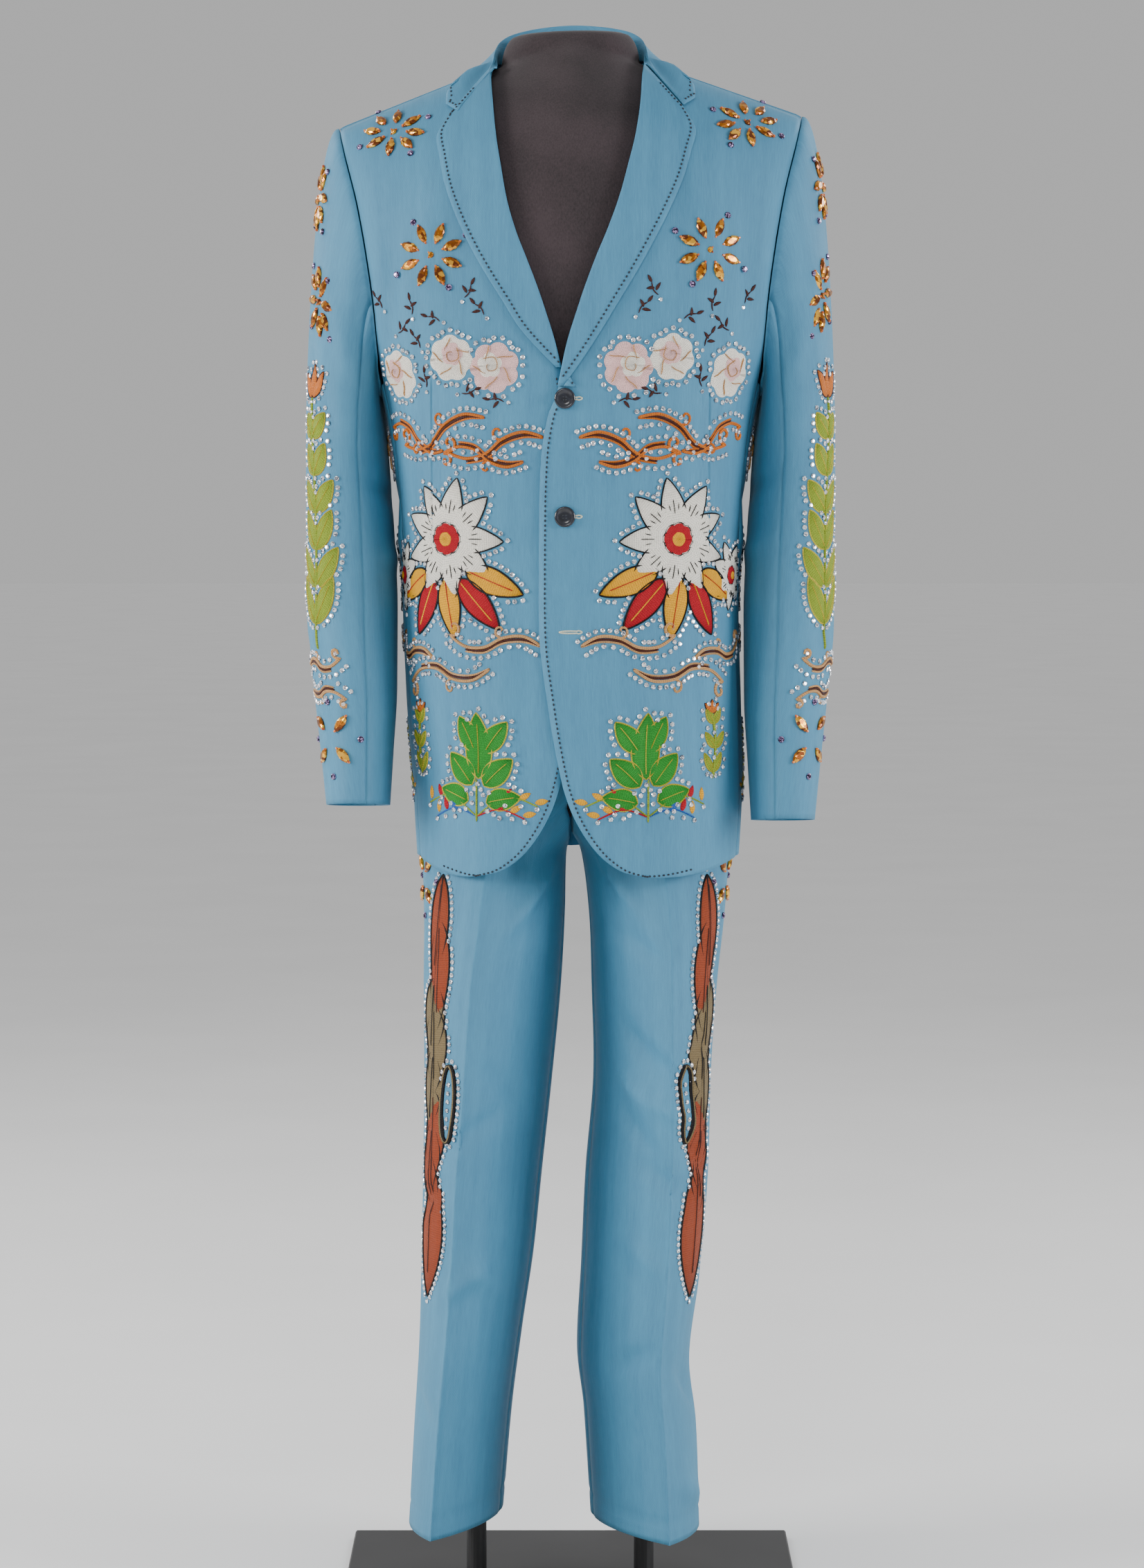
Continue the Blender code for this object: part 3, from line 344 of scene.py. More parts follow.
FORM_SIDES, CAP_HIGH, FOOT_Y = 96, 0.0006, 0.008
heights = [FORM_FOOT_Z, 0.745, 0.748, 0.756, *spread(0.765, 1.12, 40), *spread(1.128, 1.40, 40)]
heights += [*spread(1.405, 1.440, 9), *spread(1.443, FORM_TOP_Z, 12)]
rings = [form_ring(z, FORM_SIDES) for z in heights]
top, foot = Vector((0, RIDGE_Y, FORM_TOP_Z)), Vector((0, FOOT_Y, FORM_FOOT_Z))
cap = [[p.lerp(top, share) + Vector((0, 0, CAP_HIGH * share)) for p in rings[-1]]
       for share in (0.04, 0.3, 0.65)]
sole = [[p.lerp(foot, share) for p in rings[0]] for share in (0.6, 0.3, 0.05)]
rings = sole + rings + cap
points = [lean(p) for ring in rings for p in ring]
faces = grid_faces(len(rings), FORM_SIDES, closed=True)
faces += [tuple(reversed(range(FORM_SIDES))), tuple(range(len(points) - FORM_SIDES, len(points)))]
form = make_mesh("dress_form_cover", points, faces, jersey)
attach(form, "root")
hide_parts("dress_form")

# Trousers
# Each leg is a front and a back of blue twill, seamed at the side and inside leg, pressed to a
# sharp crease and turned up 20 mm at the hem, where a blind stitch shows as a faint line.
SIDES = ((1, "left"), (-1, "right"))
SEAM, WALL = 0.0003, 0.0016
LEG_LEFT = [
    ("z", "mid_x", "mid_y", "half", "deep", "crease", "turn"),
    (0.068, 0.0705, 0.006, 0.0500, 0.112, 0.92, 11), (0.169, 0.0655, 0.004, 0.0515, 0.113, 0.90, 11),
    (0.228, 0.0590, 0.002, 0.0510, 0.114, 0.88, 12), (0.308, 0.0655, 0.000, 0.0540, 0.117, 0.86, 11),
    (0.400, 0.0715, 0.000, 0.0560, 0.120, 0.84, 10), (0.490, 0.0765, 0.000, 0.0540, 0.121, 0.80, 8),
    (0.581, 0.0785, 0.000, 0.0580, 0.120, 0.76, 7), (0.655, 0.0810, 0.002, 0.0640, 0.112, 0.68, 5),
    (0.705, 0.0800, 0.006, 0.0700, 0.102, 0.60, 3), (0.760, 0.0560, 0.008, 0.0880, 0.101, 0.55, 1),
    (0.830, 0.0200, 0.006, 0.1240, 0.103, 0.50, 0), (0.950, 0.0000, 0.004, 0.1420, 0.107, 0.48, 0),
]
LEG_RIGHT = [
    ("z", "mid_x", "mid_y", "half", "deep", "crease", "turn"),
    (0.072, 0.1090, 0.006, 0.0420, 0.112, 0.92, 11), (0.169, 0.1020, 0.004, 0.0435, 0.113, 0.90, 11),
    (0.242, 0.0950, 0.002, 0.0460, 0.114, 0.88, 11), (0.327, 0.0875, 0.000, 0.0510, 0.117, 0.86, 11),
    (0.400, 0.0830, 0.000, 0.0540, 0.120, 0.84, 11), (0.490, 0.0775, 0.000, 0.0585, 0.121, 0.80, 10),
    (0.581, 0.0735, 0.000, 0.0635, 0.120, 0.76, 9), (0.655, 0.0715, 0.002, 0.0660, 0.112, 0.68, 6),
    (0.705, 0.0720, 0.006, 0.0680, 0.102, 0.60, 3), (0.760, 0.0500, 0.008, 0.0860, 0.101, 0.55, 1),
    (0.830, 0.0180, 0.006, 0.1240, 0.103, 0.50, 0), (0.950, 0.0000, 0.004, 0.1420, 0.107, 0.48, 0),
]
LEGS = {1: LEG_LEFT, -1: LEG_RIGHT}
WAIST_SEAM_Z, HEM_TURN_UP, LEG_STEP = 0.950, 0.020, 0.005
CREASE_HIGH, CREASE_WIDE, CREASE_END_Z, CREASE_FOOT = 0.0013, 0.0022, 0.740, 0.020
CREASE_NEAR, CREASE_FAR_STOPS, MIDDLE_GAP = (-0.12, -0.05, -0.018, 0.0, 0.018, 0.05, 0.12), 16, 0.0002
MIDDLE_FAR = 0.5
HEM_LINE_HALF, HEM_LINE_WIDE, HEM_LINE_DEEP = 0.2, 0.003, 0.0009


def leg(turn, z, side):
    """A point on a trouser leg: turn is 0 at the front crease, 90 degrees outside, -90 inside."""
    mid_x, mid_y, half, deep, sharp, swing = (read(LEGS[side], z, name) for name in LEG_LEFT[0][1:])
    x = half * math.copysign(abs(math.sin(turn)) ** (2 * sharp), math.sin(turn))
    y = -deep * math.cos(turn)
    swing = math.radians(swing)
    x, y = x * math.cos(swing) - y * math.sin(swing), y * math.cos(swing)
    return Vector((side * (x + mid_x), y + mid_y, z))


def leg_normal(turn, z, side):
    step, up = math.radians(3), 0.004
    across = leg(turn + step, z, side) - leg(turn - step, z, side)
    rise = leg(turn, min(z + up, WAIST_SEAM_Z), side) - leg(turn, z - up, side)
    normal = across.cross(rise).normalized()
    middle = Vector((side * read(LEGS[side], z, "mid_x"), read(LEGS[side], z, "mid_y"), z))
    return normal if normal.dot(leg(turn, z, side) - middle) > 0 else -normal


def halved(low, high, is_low):
    """Closes in on the place between low and high where is_low stops being true."""
    for _ in range(24):
        middle = (low + high) / 2
        low, high = (middle, high) if is_low(middle) else (low, middle)
    return low, high


def centre_turn(z, side, way):
    """The turn at which a leg's outline crosses the suit's middle, above the crotch."""
    outer, inner = (-math.pi / 2, MIDDLE_FAR) if way > 0 else (math.pi * 1.5, math.pi - MIDDLE_FAR)
    if leg(outer, z, side).x * side > SEAM:
        return outer
    return halved(outer, inner, lambda turn: leg(turn, z, side).x * side < SEAM / 2 + MIDDLE_GAP)[1]


FOLD_REACH = 3


def fold_height(a, b, folds):
    """The height of soft ridges and troughs, each a stroke from (a, b) to (a, b), at a place."""
    total = 0.0
    for a0, b0, a1, b1, width, height in folds:
        if abs(b - (b0 + b1) / 2) > abs(b1 - b0) / 2 + FOLD_REACH * width:
            continue
        t = (a - a0) * (a1 - a0) + (b - b0) * (b1 - b0)
        t = share_of(t, 0.0, (a1 - a0) ** 2 + (b1 - b0) ** 2)
        away = math.hypot(a - a0 - t * (a1 - a0), b - b0 - t * (b1 - b0)) / width
        if away < FOLD_REACH:
            total += height * math.exp(-away * away) * math.sin(math.pi * (0.06 + 0.88 * t)) ** 0.6
    return total


# Fine diagonal ribs follow the piece's own UV, over a soft uneven dye and a light nap.
twill, tree, shader = new_material("twill")
flat = node(tree, "ShaderNodeUVMap", uv_map="cloth").outputs["UV"]
rib = node(tree, "ShaderNodeTexWave", {
    "Vector": stretched(tree, flat, turn=math.radians(63)), "Scale": 430.0, "Distortion": 0.6,
    "Detail": 1.0, "Detail Scale": 3.0}, wave_type="BANDS", bands_direction="X")
slub = noise(tree, 1.0, 3.0, stretched(tree, flat, (900.0, 60.0, 1.0)), roughness=0.6)
cloud = noise(tree, 7.0, 3.0, roughness=0.55)
streak = noise(tree, 1.0, 2.0, stretched(tree, flat, (85.0, 5.0, 1.0)))
tone = mixed(tree, 0.42, mixed(tree, 0.5, cloud, streak), slub)
tinted = ramp(tree, tone, (0.34, (0.036, 0.162, 0.280)), (0.64, (0.058, 0.234, 0.380)))
ribbed = mixed(tree, 0.10, tinted, rib.outputs["Color"], data_type="RGBA", blend_type="OVERLAY")
under = bumped(tree, slub, 0.22, 0.0006)
feed(tree, shader, {
    "Base Color": ribbed, "Normal": bumped(tree, rib.outputs["Fac"], 0.30, 0.0004, Normal=under),
    "Roughness": 0.70, "Sheen Weight": 0.16, "Sheen Roughness": 0.34, "Sheen Tint": (0.36, 0.74, 0.95, 1.0)})


SEAM_EASE = 0.0032


def eased_edges(rows, dips):
    """How far each point sinks towards the seams: dips names edges and the depth of the dip."""
    place = np.array([[tuple(p) for p, _ in row] for row in rows])
    across, down = np.zeros(place.shape[:2]), np.zeros(place.shape[:2])
    across[:, 1:] = np.cumsum(np.linalg.norm(np.diff(place, axis=1), axis=2), axis=1)
    down[1:] = np.cumsum(np.linalg.norm(np.diff(place, axis=0), axis=2), axis=0)
    away = {"left": across, "right": across[:, -1:] - across, "bottom": down, "top": down[-1:] - down}
    sink = np.zeros(place.shape[:2])
    for edge, depth in dict(dips).items():
        sink += depth * np.exp(-(away[edge] / SEAM_EASE) ** 2)
    return sink


def level_length(row):
    """The length along a row of (point, normal) pairs, seen from above."""
    return sum(math.hypot(p.x - q.x, p.y - q.y) for (p, _), (q, _) in zip(row, row[1:]))


Panel = namedtuple("Panel", "points normals flat corners tree width")
panels = {}


def cut_piece(part, rows, starts, folds=(), dips=(), thick=WALL):
    """One cut piece as a thin wall; rows hold (point, normal), starts where each row's a begins."""
    sink = eased_edges(rows, dips)
    points, normals, flat = [], [], []
    for i, row in enumerate(rows):
        for j, (p, n) in enumerate(row):
            a = a + level_length(row[j - 1:j + 1]) if j else starts[i]
            points.append(lean(p + n * (fold_height(a, p.z, folds) - sink[i][j])))
            normals.append(n)
            flat.append(Vector((a, p.z, 0.0)))
    faces = grid_faces(len(rows), len(rows[0]))
    middle = faces[len(faces) // 2]
    a, b, c = (points[k] for k in middle[:3])
    if (b - a).cross(c - b).dot(normals[middle[0]]) < 0:
        faces = [tuple(reversed(face)) for face in faces]
    made = make_mesh(part + "_cloth", points, faces, twill)
    layer = made.data.uv_layers.new(name="cloth")
    for loop in made.data.loops:
        layer.data[loop.index].uv = flat[loop.vertex_index][:2]
    wall = made.modifiers.new("thickness", "SOLIDIFY")
    wall.thickness, wall.offset = thick, -1.0
    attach(made, "root")
    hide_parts(part)
    corners = [tri for f in faces for tri in ((f[0], f[1], f[2]), (f[0], f[2], f[3]))]
    panels[part] = Panel(points, normals, flat, corners, BVHTree.FromPolygons(flat, corners), len(rows[0]))


def leg_rows(side, way):
    """A trouser front (way 1) or back (way -1) from the inside leg or middle seam to the side seam."""
    foot_z = LEGS[side][1][0]
    crease = 0.0 if way > 0 else math.pi
    rows, starts = [], []
    for z in spread(foot_z, WAIST_SEAM_Z, math.ceil((WAIST_SEAM_Z - foot_z) / LEG_STEP)):
        first, last = centre_turn(z, side, way), math.pi / 2
        toward = 1 if last > first else -1
        near = [crease + toward * t for t in CREASE_NEAR]
        turns = spread(first, near[0], CREASE_FAR_STOPS)[:-1] + near
        turns += spread(near[-1], last, CREASE_FAR_STOPS)[1:]
        row = [(leg(t, z, side), leg_normal(t, z, side)) for t in turns]
        rows.append(row)
        starts.append(-level_length(row[:turns.index(crease) + 1]))
    return rows, starts


# Soft folds of each leg as strokes (a, z) to (a, z), width and height, measured from the crease.
LEG_FOLDS = {
    "trouser_front_left": [
        (-0.055, 0.790, -0.020, 0.700, 0.0079, -0.0071), (-0.080, 0.720, -0.030, 0.655, 0.0079, 0.0071),
        (-0.070, 0.560, -0.015, 0.505, 0.0079, -0.0052), (-0.075, 0.480, -0.020, 0.435, 0.0079, -0.0058),
        (-0.070, 0.510, -0.020, 0.470, 0.0073, 0.0052), (0.020, 0.445, 0.070, 0.405, 0.0086, -0.0046),
        (0.030, 0.230, 0.075, 0.190, 0.0092, -0.0046), (-0.065, 0.225, -0.015, 0.250, 0.0092, -0.0052),
        (-0.060, 0.640, -0.010, 0.615, 0.008, -0.0043), (0.012, 0.520, 0.050, 0.535, 0.008, -0.0038),
        (-0.050, 0.350, -0.008, 0.325, 0.008, 0.0035), (0.020, 0.120, 0.075, 0.100, 0.0106, 0.0046),
        (-0.050, 0.545, 0.028, 0.492, 0.0090, -0.0044), (-0.055, 0.500, 0.030, 0.462, 0.0085, 0.0040),
        (-0.045, 0.430, 0.020, 0.398, 0.0090, -0.0038),
    ],
    "trouser_front_right": [
        (-0.070, 0.760, -0.025, 0.690, 0.0079, -0.0071), (-0.085, 0.700, -0.030, 0.640, 0.0086, 0.0065),
        (-0.075, 0.480, -0.020, 0.520, 0.0092, -0.0046), (0.018, 0.400, 0.070, 0.380, 0.0099, -0.0046),
        (-0.070, 0.300, -0.015, 0.330, 0.0106, 0.0052), (0.015, 0.180, 0.060, 0.200, 0.0099, -0.0042),
        (-0.050, 0.475, 0.022, 0.440, 0.0095, -0.0038), (-0.045, 0.330, 0.020, 0.300, 0.0100, 0.0034),
    ],
    "trouser_back_left": [
        (-0.080, 0.740, -0.020, 0.660, 0.0092, -0.0047), (-0.085, 0.680, -0.020, 0.620, 0.0086, 0.0043),
        (-0.070, 0.470, 0.010, 0.450, 0.0092, -0.0043), (-0.070, 0.430, 0.020, 0.420, 0.0086, 0.0035),
        (0.010, 0.400, 0.075, 0.430, 0.0092, -0.0039),
    ],
    "trouser_back_right": [
        (-0.080, 0.750, -0.020, 0.680, 0.0092, -0.0043), (-0.085, 0.700, -0.025, 0.640, 0.0086, 0.0039),
        (-0.070, 0.450, 0.015, 0.435, 0.0099, -0.0039), (-0.060, 0.410, 0.030, 0.400, 0.0086, 0.0035),
    ],
}
LEG_FLAT, LEG_DIPS = (0.31, 0.90), {"left": 0.0007, "right": 0.0007}
for side, word in SIDES:
    for way, half in ((1, "front"), (-1, "back")):
        part = f"trouser_{half}_{word}"
        rows, starts = leg_rows(side, way)
        hem = rows[0][0][0].z + HEM_TURN_UP
        folds = [*LEG_FOLDS[part], (-HEM_LINE_HALF, hem, HEM_LINE_HALF, hem, HEM_LINE_WIDE, -HEM_LINE_DEEP),
                 (0.0, rows[0][0][0].z - CREASE_FOOT, 0.0, CREASE_END_Z, CREASE_WIDE, CREASE_HIGH)]
        cut_piece(part, rows, starts, folds, LEG_DIPS)

# Waistband
# A straight band folded over its interlining and sewn to the tops of the legs. It keeps them
# round the form's waist, and the jacket hides it.
WAIST_TOP_Z = 0.990
WAIST_ROWS = (WAIST_SEAM_Z + SEAM, WAIST_SEAM_Z + 0.004, (WAIST_SEAM_Z + WAIST_TOP_Z) / 2,
              WAIST_TOP_Z - 0.003, WAIST_TOP_Z)
WAIST_STOPS, WAIST_FLAT, WAIST_DIPS = 97, (0.79, 0.040), {"bottom": 0.0004}
rows = []
for z in WAIST_ROWS:
    row = []
    for turn in spread(0, 2 * math.pi, WAIST_STOPS):
        p, normal = leg(turn, WAIST_SEAM_Z, 1), leg_normal(turn, WAIST_SEAM_Z, 1)
        row.append((Vector((p.x, p.y, z)), Vector((normal.x, normal.y, 0)).normalized()))
    rows.append(row)
cut_piece("waistband", rows, [0.0] * len(rows), dips=WAIST_DIPS)

# Jacket backs
# Two backs joined down the middle and shaped at the waist, with the seam pressed open underneath.
# Each reaches from the hem to the shoulder seam and the neck.
HEM_SIDE, HEM_BACK, NECK_X, NECK_BACK_Z, SIDE_BACK_TURN = 0.7060, 0.7000, 0.0705, 1.4470, math.radians(-35)
ARMHOLE_BACK = [("z", "x"), (ARM_LOW, 0.1775), (1.210, 0.1835), (1.260, 0.1900), (1.315, 0.1990),
                (1.360, 0.2090), (RIDGE_OUT, SHOULDER_X)]
SIDE_ROWS = [HEM_SIDE, 0.760, 0.830, 0.900, 0.965, 1.030, 1.090, 1.150]
JACKET_DIPS = {"left": 0.0008, "right": 0.0008}


def steps_along(ends, step):
    """Rows between the given ones, each row a tuple of numbers, along even curves through them."""
    at = [0.0]
    for one, two in zip(ends, ends[1:]):
        at.append(at[-1] + max(abs(p - q) for p, q in zip(one, two)))
    columns = [curve_of(at, [row[k] for row in ends]) for k in range(len(ends[0]))]
    rows = []
    for low, high in zip(at, at[1:]):
        count = max(math.ceil((high - low) / step), 1)
        rows += [tuple(read_curve(c, low + (high - low) * k / count) for c in columns) for k in range(count)]
    return rows + [ends[-1]]


def body_normal(turn, z, side):
    p = body(turn, z, side)
    x = abs(p.x - read(BODY, z, "mid"))
    if ridge_z(x) - z < 0.0008:
        return Vector((side * RIDGE_FALL, 0, 1)).normalized()
    step = 0.004
    low = max(min(turn, math.pi / 2 - step), -math.pi / 2 + step)
    across = body(low + step, z, side) - body(low - step, z, side)
    up = min(0.002, 0.4 * (ridge_z(x) - z))
    rise = body(turn, z + up, side) - body(turn, z - up, side)
    normal = across.cross(rise).normalized()
    outward = Vector((p.x * 0.5, p.y - RIDGE_Y, 0.02))
    return normal if normal.dot(outward) > 0 else -normal


def on_body(x, z, side, front):
    turn = turn_of(x, z) * (1 if front else -1)
    return body(turn, z, side), body_normal(turn, z, side)


def side_seam_x(z, turn):
    return read(BODY, z, "half") * math.cos(turn) ** (2 / ROUND)


def body_stops(x0, z0, x1, z1):
    half0 = read(BODY, z0, "half")
    turn0 = math.acos(min(abs(x0) / half0, 1) ** (ROUND / 2))
    return (math.pi - turn0 if x0 < 0 else turn0), turn_of(x1, z1)


def body_row(ends, side, front, stops, sag=0.0):
    """Points across a panel from (x, z) at its inner edge to (x, z) at its outer edge."""
    x0, z0, x1, z1 = ends
    half0, half1 = read(BODY, z0, "half"), read(BODY, z1, "half")
    turn0, turn1 = body_stops(*ends)
    row = []
    for s in stops:
        cosine = math.cos(turn0 + (turn1 - turn0) * s)
        half = half0 + (half1 - half0) * s
        x = math.copysign(half * abs(cosine) ** (2 / ROUND), cosine)
        x = x0 if s == 0 else x1 if s == 1 else x
        share = (x - x0) / (x1 - x0)
        z = z0 + (z1 - z0) * share - 4 * sag * share * (1 - share)
        point, normal = on_body(abs(x), z, -side if x < 0 else side, front)
        if s == 0 and not front:
            normal = Vector((0, normal.y, normal.z)).normalized()
        row.append((point, normal))
    return row


BACK_FOLDS = [
    (0.020, 1.395, 0.120, 1.360, 0.0128, -0.0024), (0.030, 1.330, 0.150, 1.300, 0.0160, 0.0022),
    (0.120, 1.300, 0.165, 1.180, 0.0120, 0.0032), (0.095, 1.280, 0.140, 1.170, 0.0112, -0.0030),
    (0.020, 1.035, 0.130, 1.005, 0.0144, -0.0024), (0.030, 0.985, 0.120, 0.960, 0.0128, 0.0022),
    (0.060, 0.930, 0.085, 0.740, 0.0176, -0.0027), (0.115, 0.920, 0.120, 0.730, 0.0160, 0.0024),
]
BACK_FLAT, BACK_AREA, BACK_STEP, BACK_MIDDLE = (0.215, 0.765), {1: 0.124, -1: 0.136}, 0.007, 0.012
BACK_BEND, BACK_RAISED, BACK_STOPS = {1: 1.0, -1: 0.85}, {1: 0.0, -1: 0.01}, 30
ARM_IN, ARM_IN_OVER, ARM_ROWS = 0.0032, (1.166, 1.184), (1.185, 1.368, 7)
for side, word in SIDES:
    inner = [(0.0, z) for z in (HEM_BACK, *SIDE_ROWS[1:7], 1.140, 1.167, 1.195, 1.250, 1.305, 1.360, 1.410)]
    inner += [(0.0, NECK_BACK_Z), (0.038, 1.4425), (NECK_X, ridge_z(NECK_X))]
    outer = [(side_seam_x(z, SIDE_BACK_TURN), z) for z in SIDE_ROWS]
    outer += [(read(ARMHOLE_BACK, z, "x") - ARM_IN * (1 - smooth(z, *ARM_IN_OVER)), z)
              for z in (ARM_LOW, *spread(*ARM_ROWS), RIDGE_OUT)]
    ends = [(x if x else -side * read(BODY, z, "mid"), z, *out) for (x, z), out in zip(inner, outer)]
    ends = steps_along(ends, BACK_STEP)
    ends = [(x if x > BACK_MIDDLE else -side * read(BODY, z, "mid") * (x < BACK_MIDDLE), z, *out)
            for x, z, *out in ends]
    rows = [body_row(e, side, False, spread(0, 1, BACK_STOPS)) for e in ends]
    folds = [(a0, b0, a1, b1 + BACK_RAISED[side], wide, high * BACK_BEND[side])
             for a0, b0, a1, b1, wide, high in BACK_FOLDS]
    cut_piece(f"jacket_back_{word}", rows, [e[0] for e in ends], folds,
              JACKET_DIPS)

# Jacket side bodies
# A narrow panel under each arm from the armhole to the hem, seamed to the front and the back. It
# gives the jacket its waist without a seam down the chest.
UNDERARM = [("turn", "z"), (14, 1.144), (0, 1.134), (-18, 1.136), (-35, 1.150)]
SIDE_FOLDS = [(-0.06, 1.060, 0.02, 1.020, 0.014, -0.0023), (-0.06, 1.010, 0.02, 0.985, 0.013, 0.0021),
              (-0.045, 0.930, -0.040, 0.740, 0.016, -0.0021)]
SIDE_FLAT, SIDE_AREA, SIDE_START, SIDE_HIGH, SIDE_ACROSS = (0.130, 0.450), 0.0525, -0.045, 66, 17
SIDE_FRONT_TURN = math.radians(14)
for side, word in SIDES:
    rows = []
    for share in spread(0, 1, SIDE_HIGH):
        row = []
        for turn in spread(SIDE_FRONT_TURN, SIDE_BACK_TURN, SIDE_ACROSS):
            z = HEM_SIDE + (read(UNDERARM, math.degrees(turn), "z") - HEM_SIDE) * share
            row.append((body(turn, z, side), body_normal(turn, z, side)))
        rows.append(row)
    cut_piece(f"jacket_side_{word}", rows, [SIDE_START] * len(rows), SIDE_FOLDS,
              JACKET_DIPS)

# Jacket fronts
# Each front runs from the cutaway hem over the chest to the shoulder seam, interlined and shaped
# by one long dart; the left one closes over the right, and both roll open above the top button.
LIE, CLOTH_STEP, CLOSE_X, CLOSE_X_TOP, CLOSE_OVER = 0.0022, 0.006, -0.0085, -0.0035, (1.25, 1.40)
OVERLAP_OUT, OVERLAP_UP = (0.026, 0.085), (ARM_LOW, 1.215)
FRONT_EDGE = [
    ("z", "x"), (0.6935, 0.0775), (0.6981, 0.0578), (0.7110, 0.0382), (0.7339, 0.0199), (0.7592, 0.0072),
    (0.7819, 0.0003), (0.8438, -0.0111), (0.9177, -0.0199), (1.0276, -0.0199), (1.0756, -0.0180),
    (1.1121, -0.0123), (1.1330, -0.0041), (1.1626, 0.0016), (1.2301, 0.0224), (1.3018, 0.0494),
    (1.3350, 0.0572), (1.3671, 0.0637), (1.4000, 0.0676), (1.4287, 0.0700),
]
DART_X, DART_FOOT, DART_HEAD, DART_WITHIN = 0.1265, (0.975, 0.995), (1.138, 1.152), (0.25, 0.9)
DART_INNER, DART_OUTER, DART_GAP, DART_DEEP = 24, 12, 0.0045, 0.0026
HEM_LOW, HEM_SAG = 0.6935, 0.0055


def close_line(z):
    return CLOSE_X + (CLOSE_X_TOP - CLOSE_X) * smooth(z, *CLOSE_OVER)


def own_x(offset, z, side):
    return offset + side * (close_line(z) - read(BODY, z, "mid"))


def front_lift(p, side):
    """The wearer's left front closes over the right one."""
    if side < 0:
        return 0.0
    inside = p.x - close_line(p.z)
    return LIE * (1 - smooth(inside, *OVERLAP_OUT)) * (1 - smooth(p.z, *OVERLAP_UP))


def raised(row, side, height=0.0):
    return [(p + n * (front_lift(p, side) + height), n) for p, n in row]


def dart_stops(ends):
    """Even stops across a front, with three close ones at the dart."""
    turn0, turn1 = body_stops(*ends)
    at = (turn_of(DART_X, (ends[1] + ends[3]) / 2) - turn0) / (turn1 - turn0)
    at = min(max(at, DART_WITHIN[0]), DART_WITHIN[1])
    low = spread(0, at - 3 * DART_GAP, DART_INNER)
    return low + [at - DART_GAP, at, at + DART_GAP] + spread(at + 3 * DART_GAP, 1, DART_OUTER)


FRONT_FOLDS = {
    1: [(0.050, 1.175, 0.120, 1.150, 0.0120, -0.0017), (0.110, 1.330, 0.150, 1.230, 0.0120, 0.0024),
        (0.165, 1.300, 0.175, 1.190, 0.0090, -0.0034), (0.030, 1.010, 0.120, 0.995, 0.0135, -0.0015),
        (0.055, 0.900, 0.070, 0.760, 0.0150, 0.0020), (0.120, 0.930, 0.130, 0.760, 0.0135, -0.0024)],
    -1: [(0.050, 1.165, 0.120, 1.145, 0.0120, -0.0017), (0.115, 1.335, 0.150, 1.220, 0.0135, 0.0020),
         (0.168, 1.290, 0.176, 1.180, 0.0090, -0.0037), (0.020, 1.000, 0.110, 0.985, 0.0135, -0.0017),
         (0.060, 0.890, 0.070, 0.750, 0.0150, 0.0020), (0.125, 0.920, 0.135, 0.770, 0.0135, -0.0024)],
}
FRONT_FLAT, FRONT_AREA, FRONT_DIPS = (0.265, 0.775), {1: 0.147, -1: 0.133}, {"right": 0.0009, "top": 0.0009}
HEM_END, SIDE_TOP, ARM_TOP = 0.80, (1.1330, 1.144), 1.360
for side, word in SIDES:
    heights = [row[0] for row in FRONT_EDGE[1:]]
    hem_rows = len([z for z in heights if z < HEM_END])
    low = heights[hem_rows - 1]
    ends = []
    for k, z in enumerate(heights):
        if z <= SIDE_TOP[0]:
            z_out = HEM_SIDE + (low - HEM_SIDE) * k / (hem_rows - 1) if k < hem_rows else z
            x_out = side_seam_x(z_out, SIDE_FRONT_TURN)
        else:
            z_out = SIDE_TOP[1] + (ARM_TOP - SIDE_TOP[1]) * (z - SIDE_TOP[0]) / (heights[-1] - SIDE_TOP[0])
            x_out = read(ARMHOLE_FRONT, z_out, "x")
            if z_out < ARM_LOW:
                x_out = min(x_out, side_seam_x(z_out, SIDE_FRONT_TURN))
        ends.append((own_x(read(FRONT_EDGE, z, "x"), z, side), z, x_out, z_out))
    ends.append((NECK_X, ridge_z(NECK_X), SHOULDER_X, RIDGE_OUT))
    ends = steps_along(ends, CLOTH_STEP)
    rows = []
    for e in ends:
        sag = HEM_SAG * (1 - smooth(e[1], HEM_LOW, HEM_END))
        row = raised(body_row(e, side, True, dart_stops(e), sag), side)
        p, n = row[DART_INNER + 1]
        deep = DART_DEEP * smooth(p.z, *DART_FOOT) * (1 - smooth(p.z, *DART_HEAD))
        row[DART_INNER + 1] = (p - n * deep, n)
        rows.append(row)
    cut_piece(f"jacket_front_{word}", rows, [e[0] for e in ends],
              FRONT_FOLDS[side], FRONT_DIPS)

# Lapels
# The turned-back top of each front lies on the chest; it rolls softly over its crease and ends in
# a rounded notch at the collar.
LAPEL_EDGE = [("z", "x"), (1.1330, -0.0041), (1.1708, 0.0224), (1.2163, 0.0508), (1.2645, 0.0792),
              (1.3275, 0.1069), (1.3676, 0.1158)]
LAPEL_START = {1: 1.140, -1: 1.157}
LAPEL_FOOT, LAPEL_IN, LAPEL_NARROW, LAPEL_WALL = 0.0045, 0.0012, 0.003, 0.0010
LAPEL_OVER, LAPEL_ROUND, LAPEL_DROP = 0.0008, 0.0020, 0.0019
LAPEL_RISE, LAPEL_RISE_OVER = 0.0006, (1.33, 1.38)
LAPEL_OUTER_Z = [1.1708, 1.194, 1.2163, 1.2400, 1.2645, 1.2960, 1.3275, 1.3500, 1.3676]
LAPEL_INNER_Z = [1.178, 1.205, 1.2301, 1.2560, 1.2800, 1.3100, 1.3400, 1.3670, 1.3990]
GORGE_Z, GORGE_EDGE_Z, NOTCH = 1.4322, 1.4260, (1.3910, 0.1046)
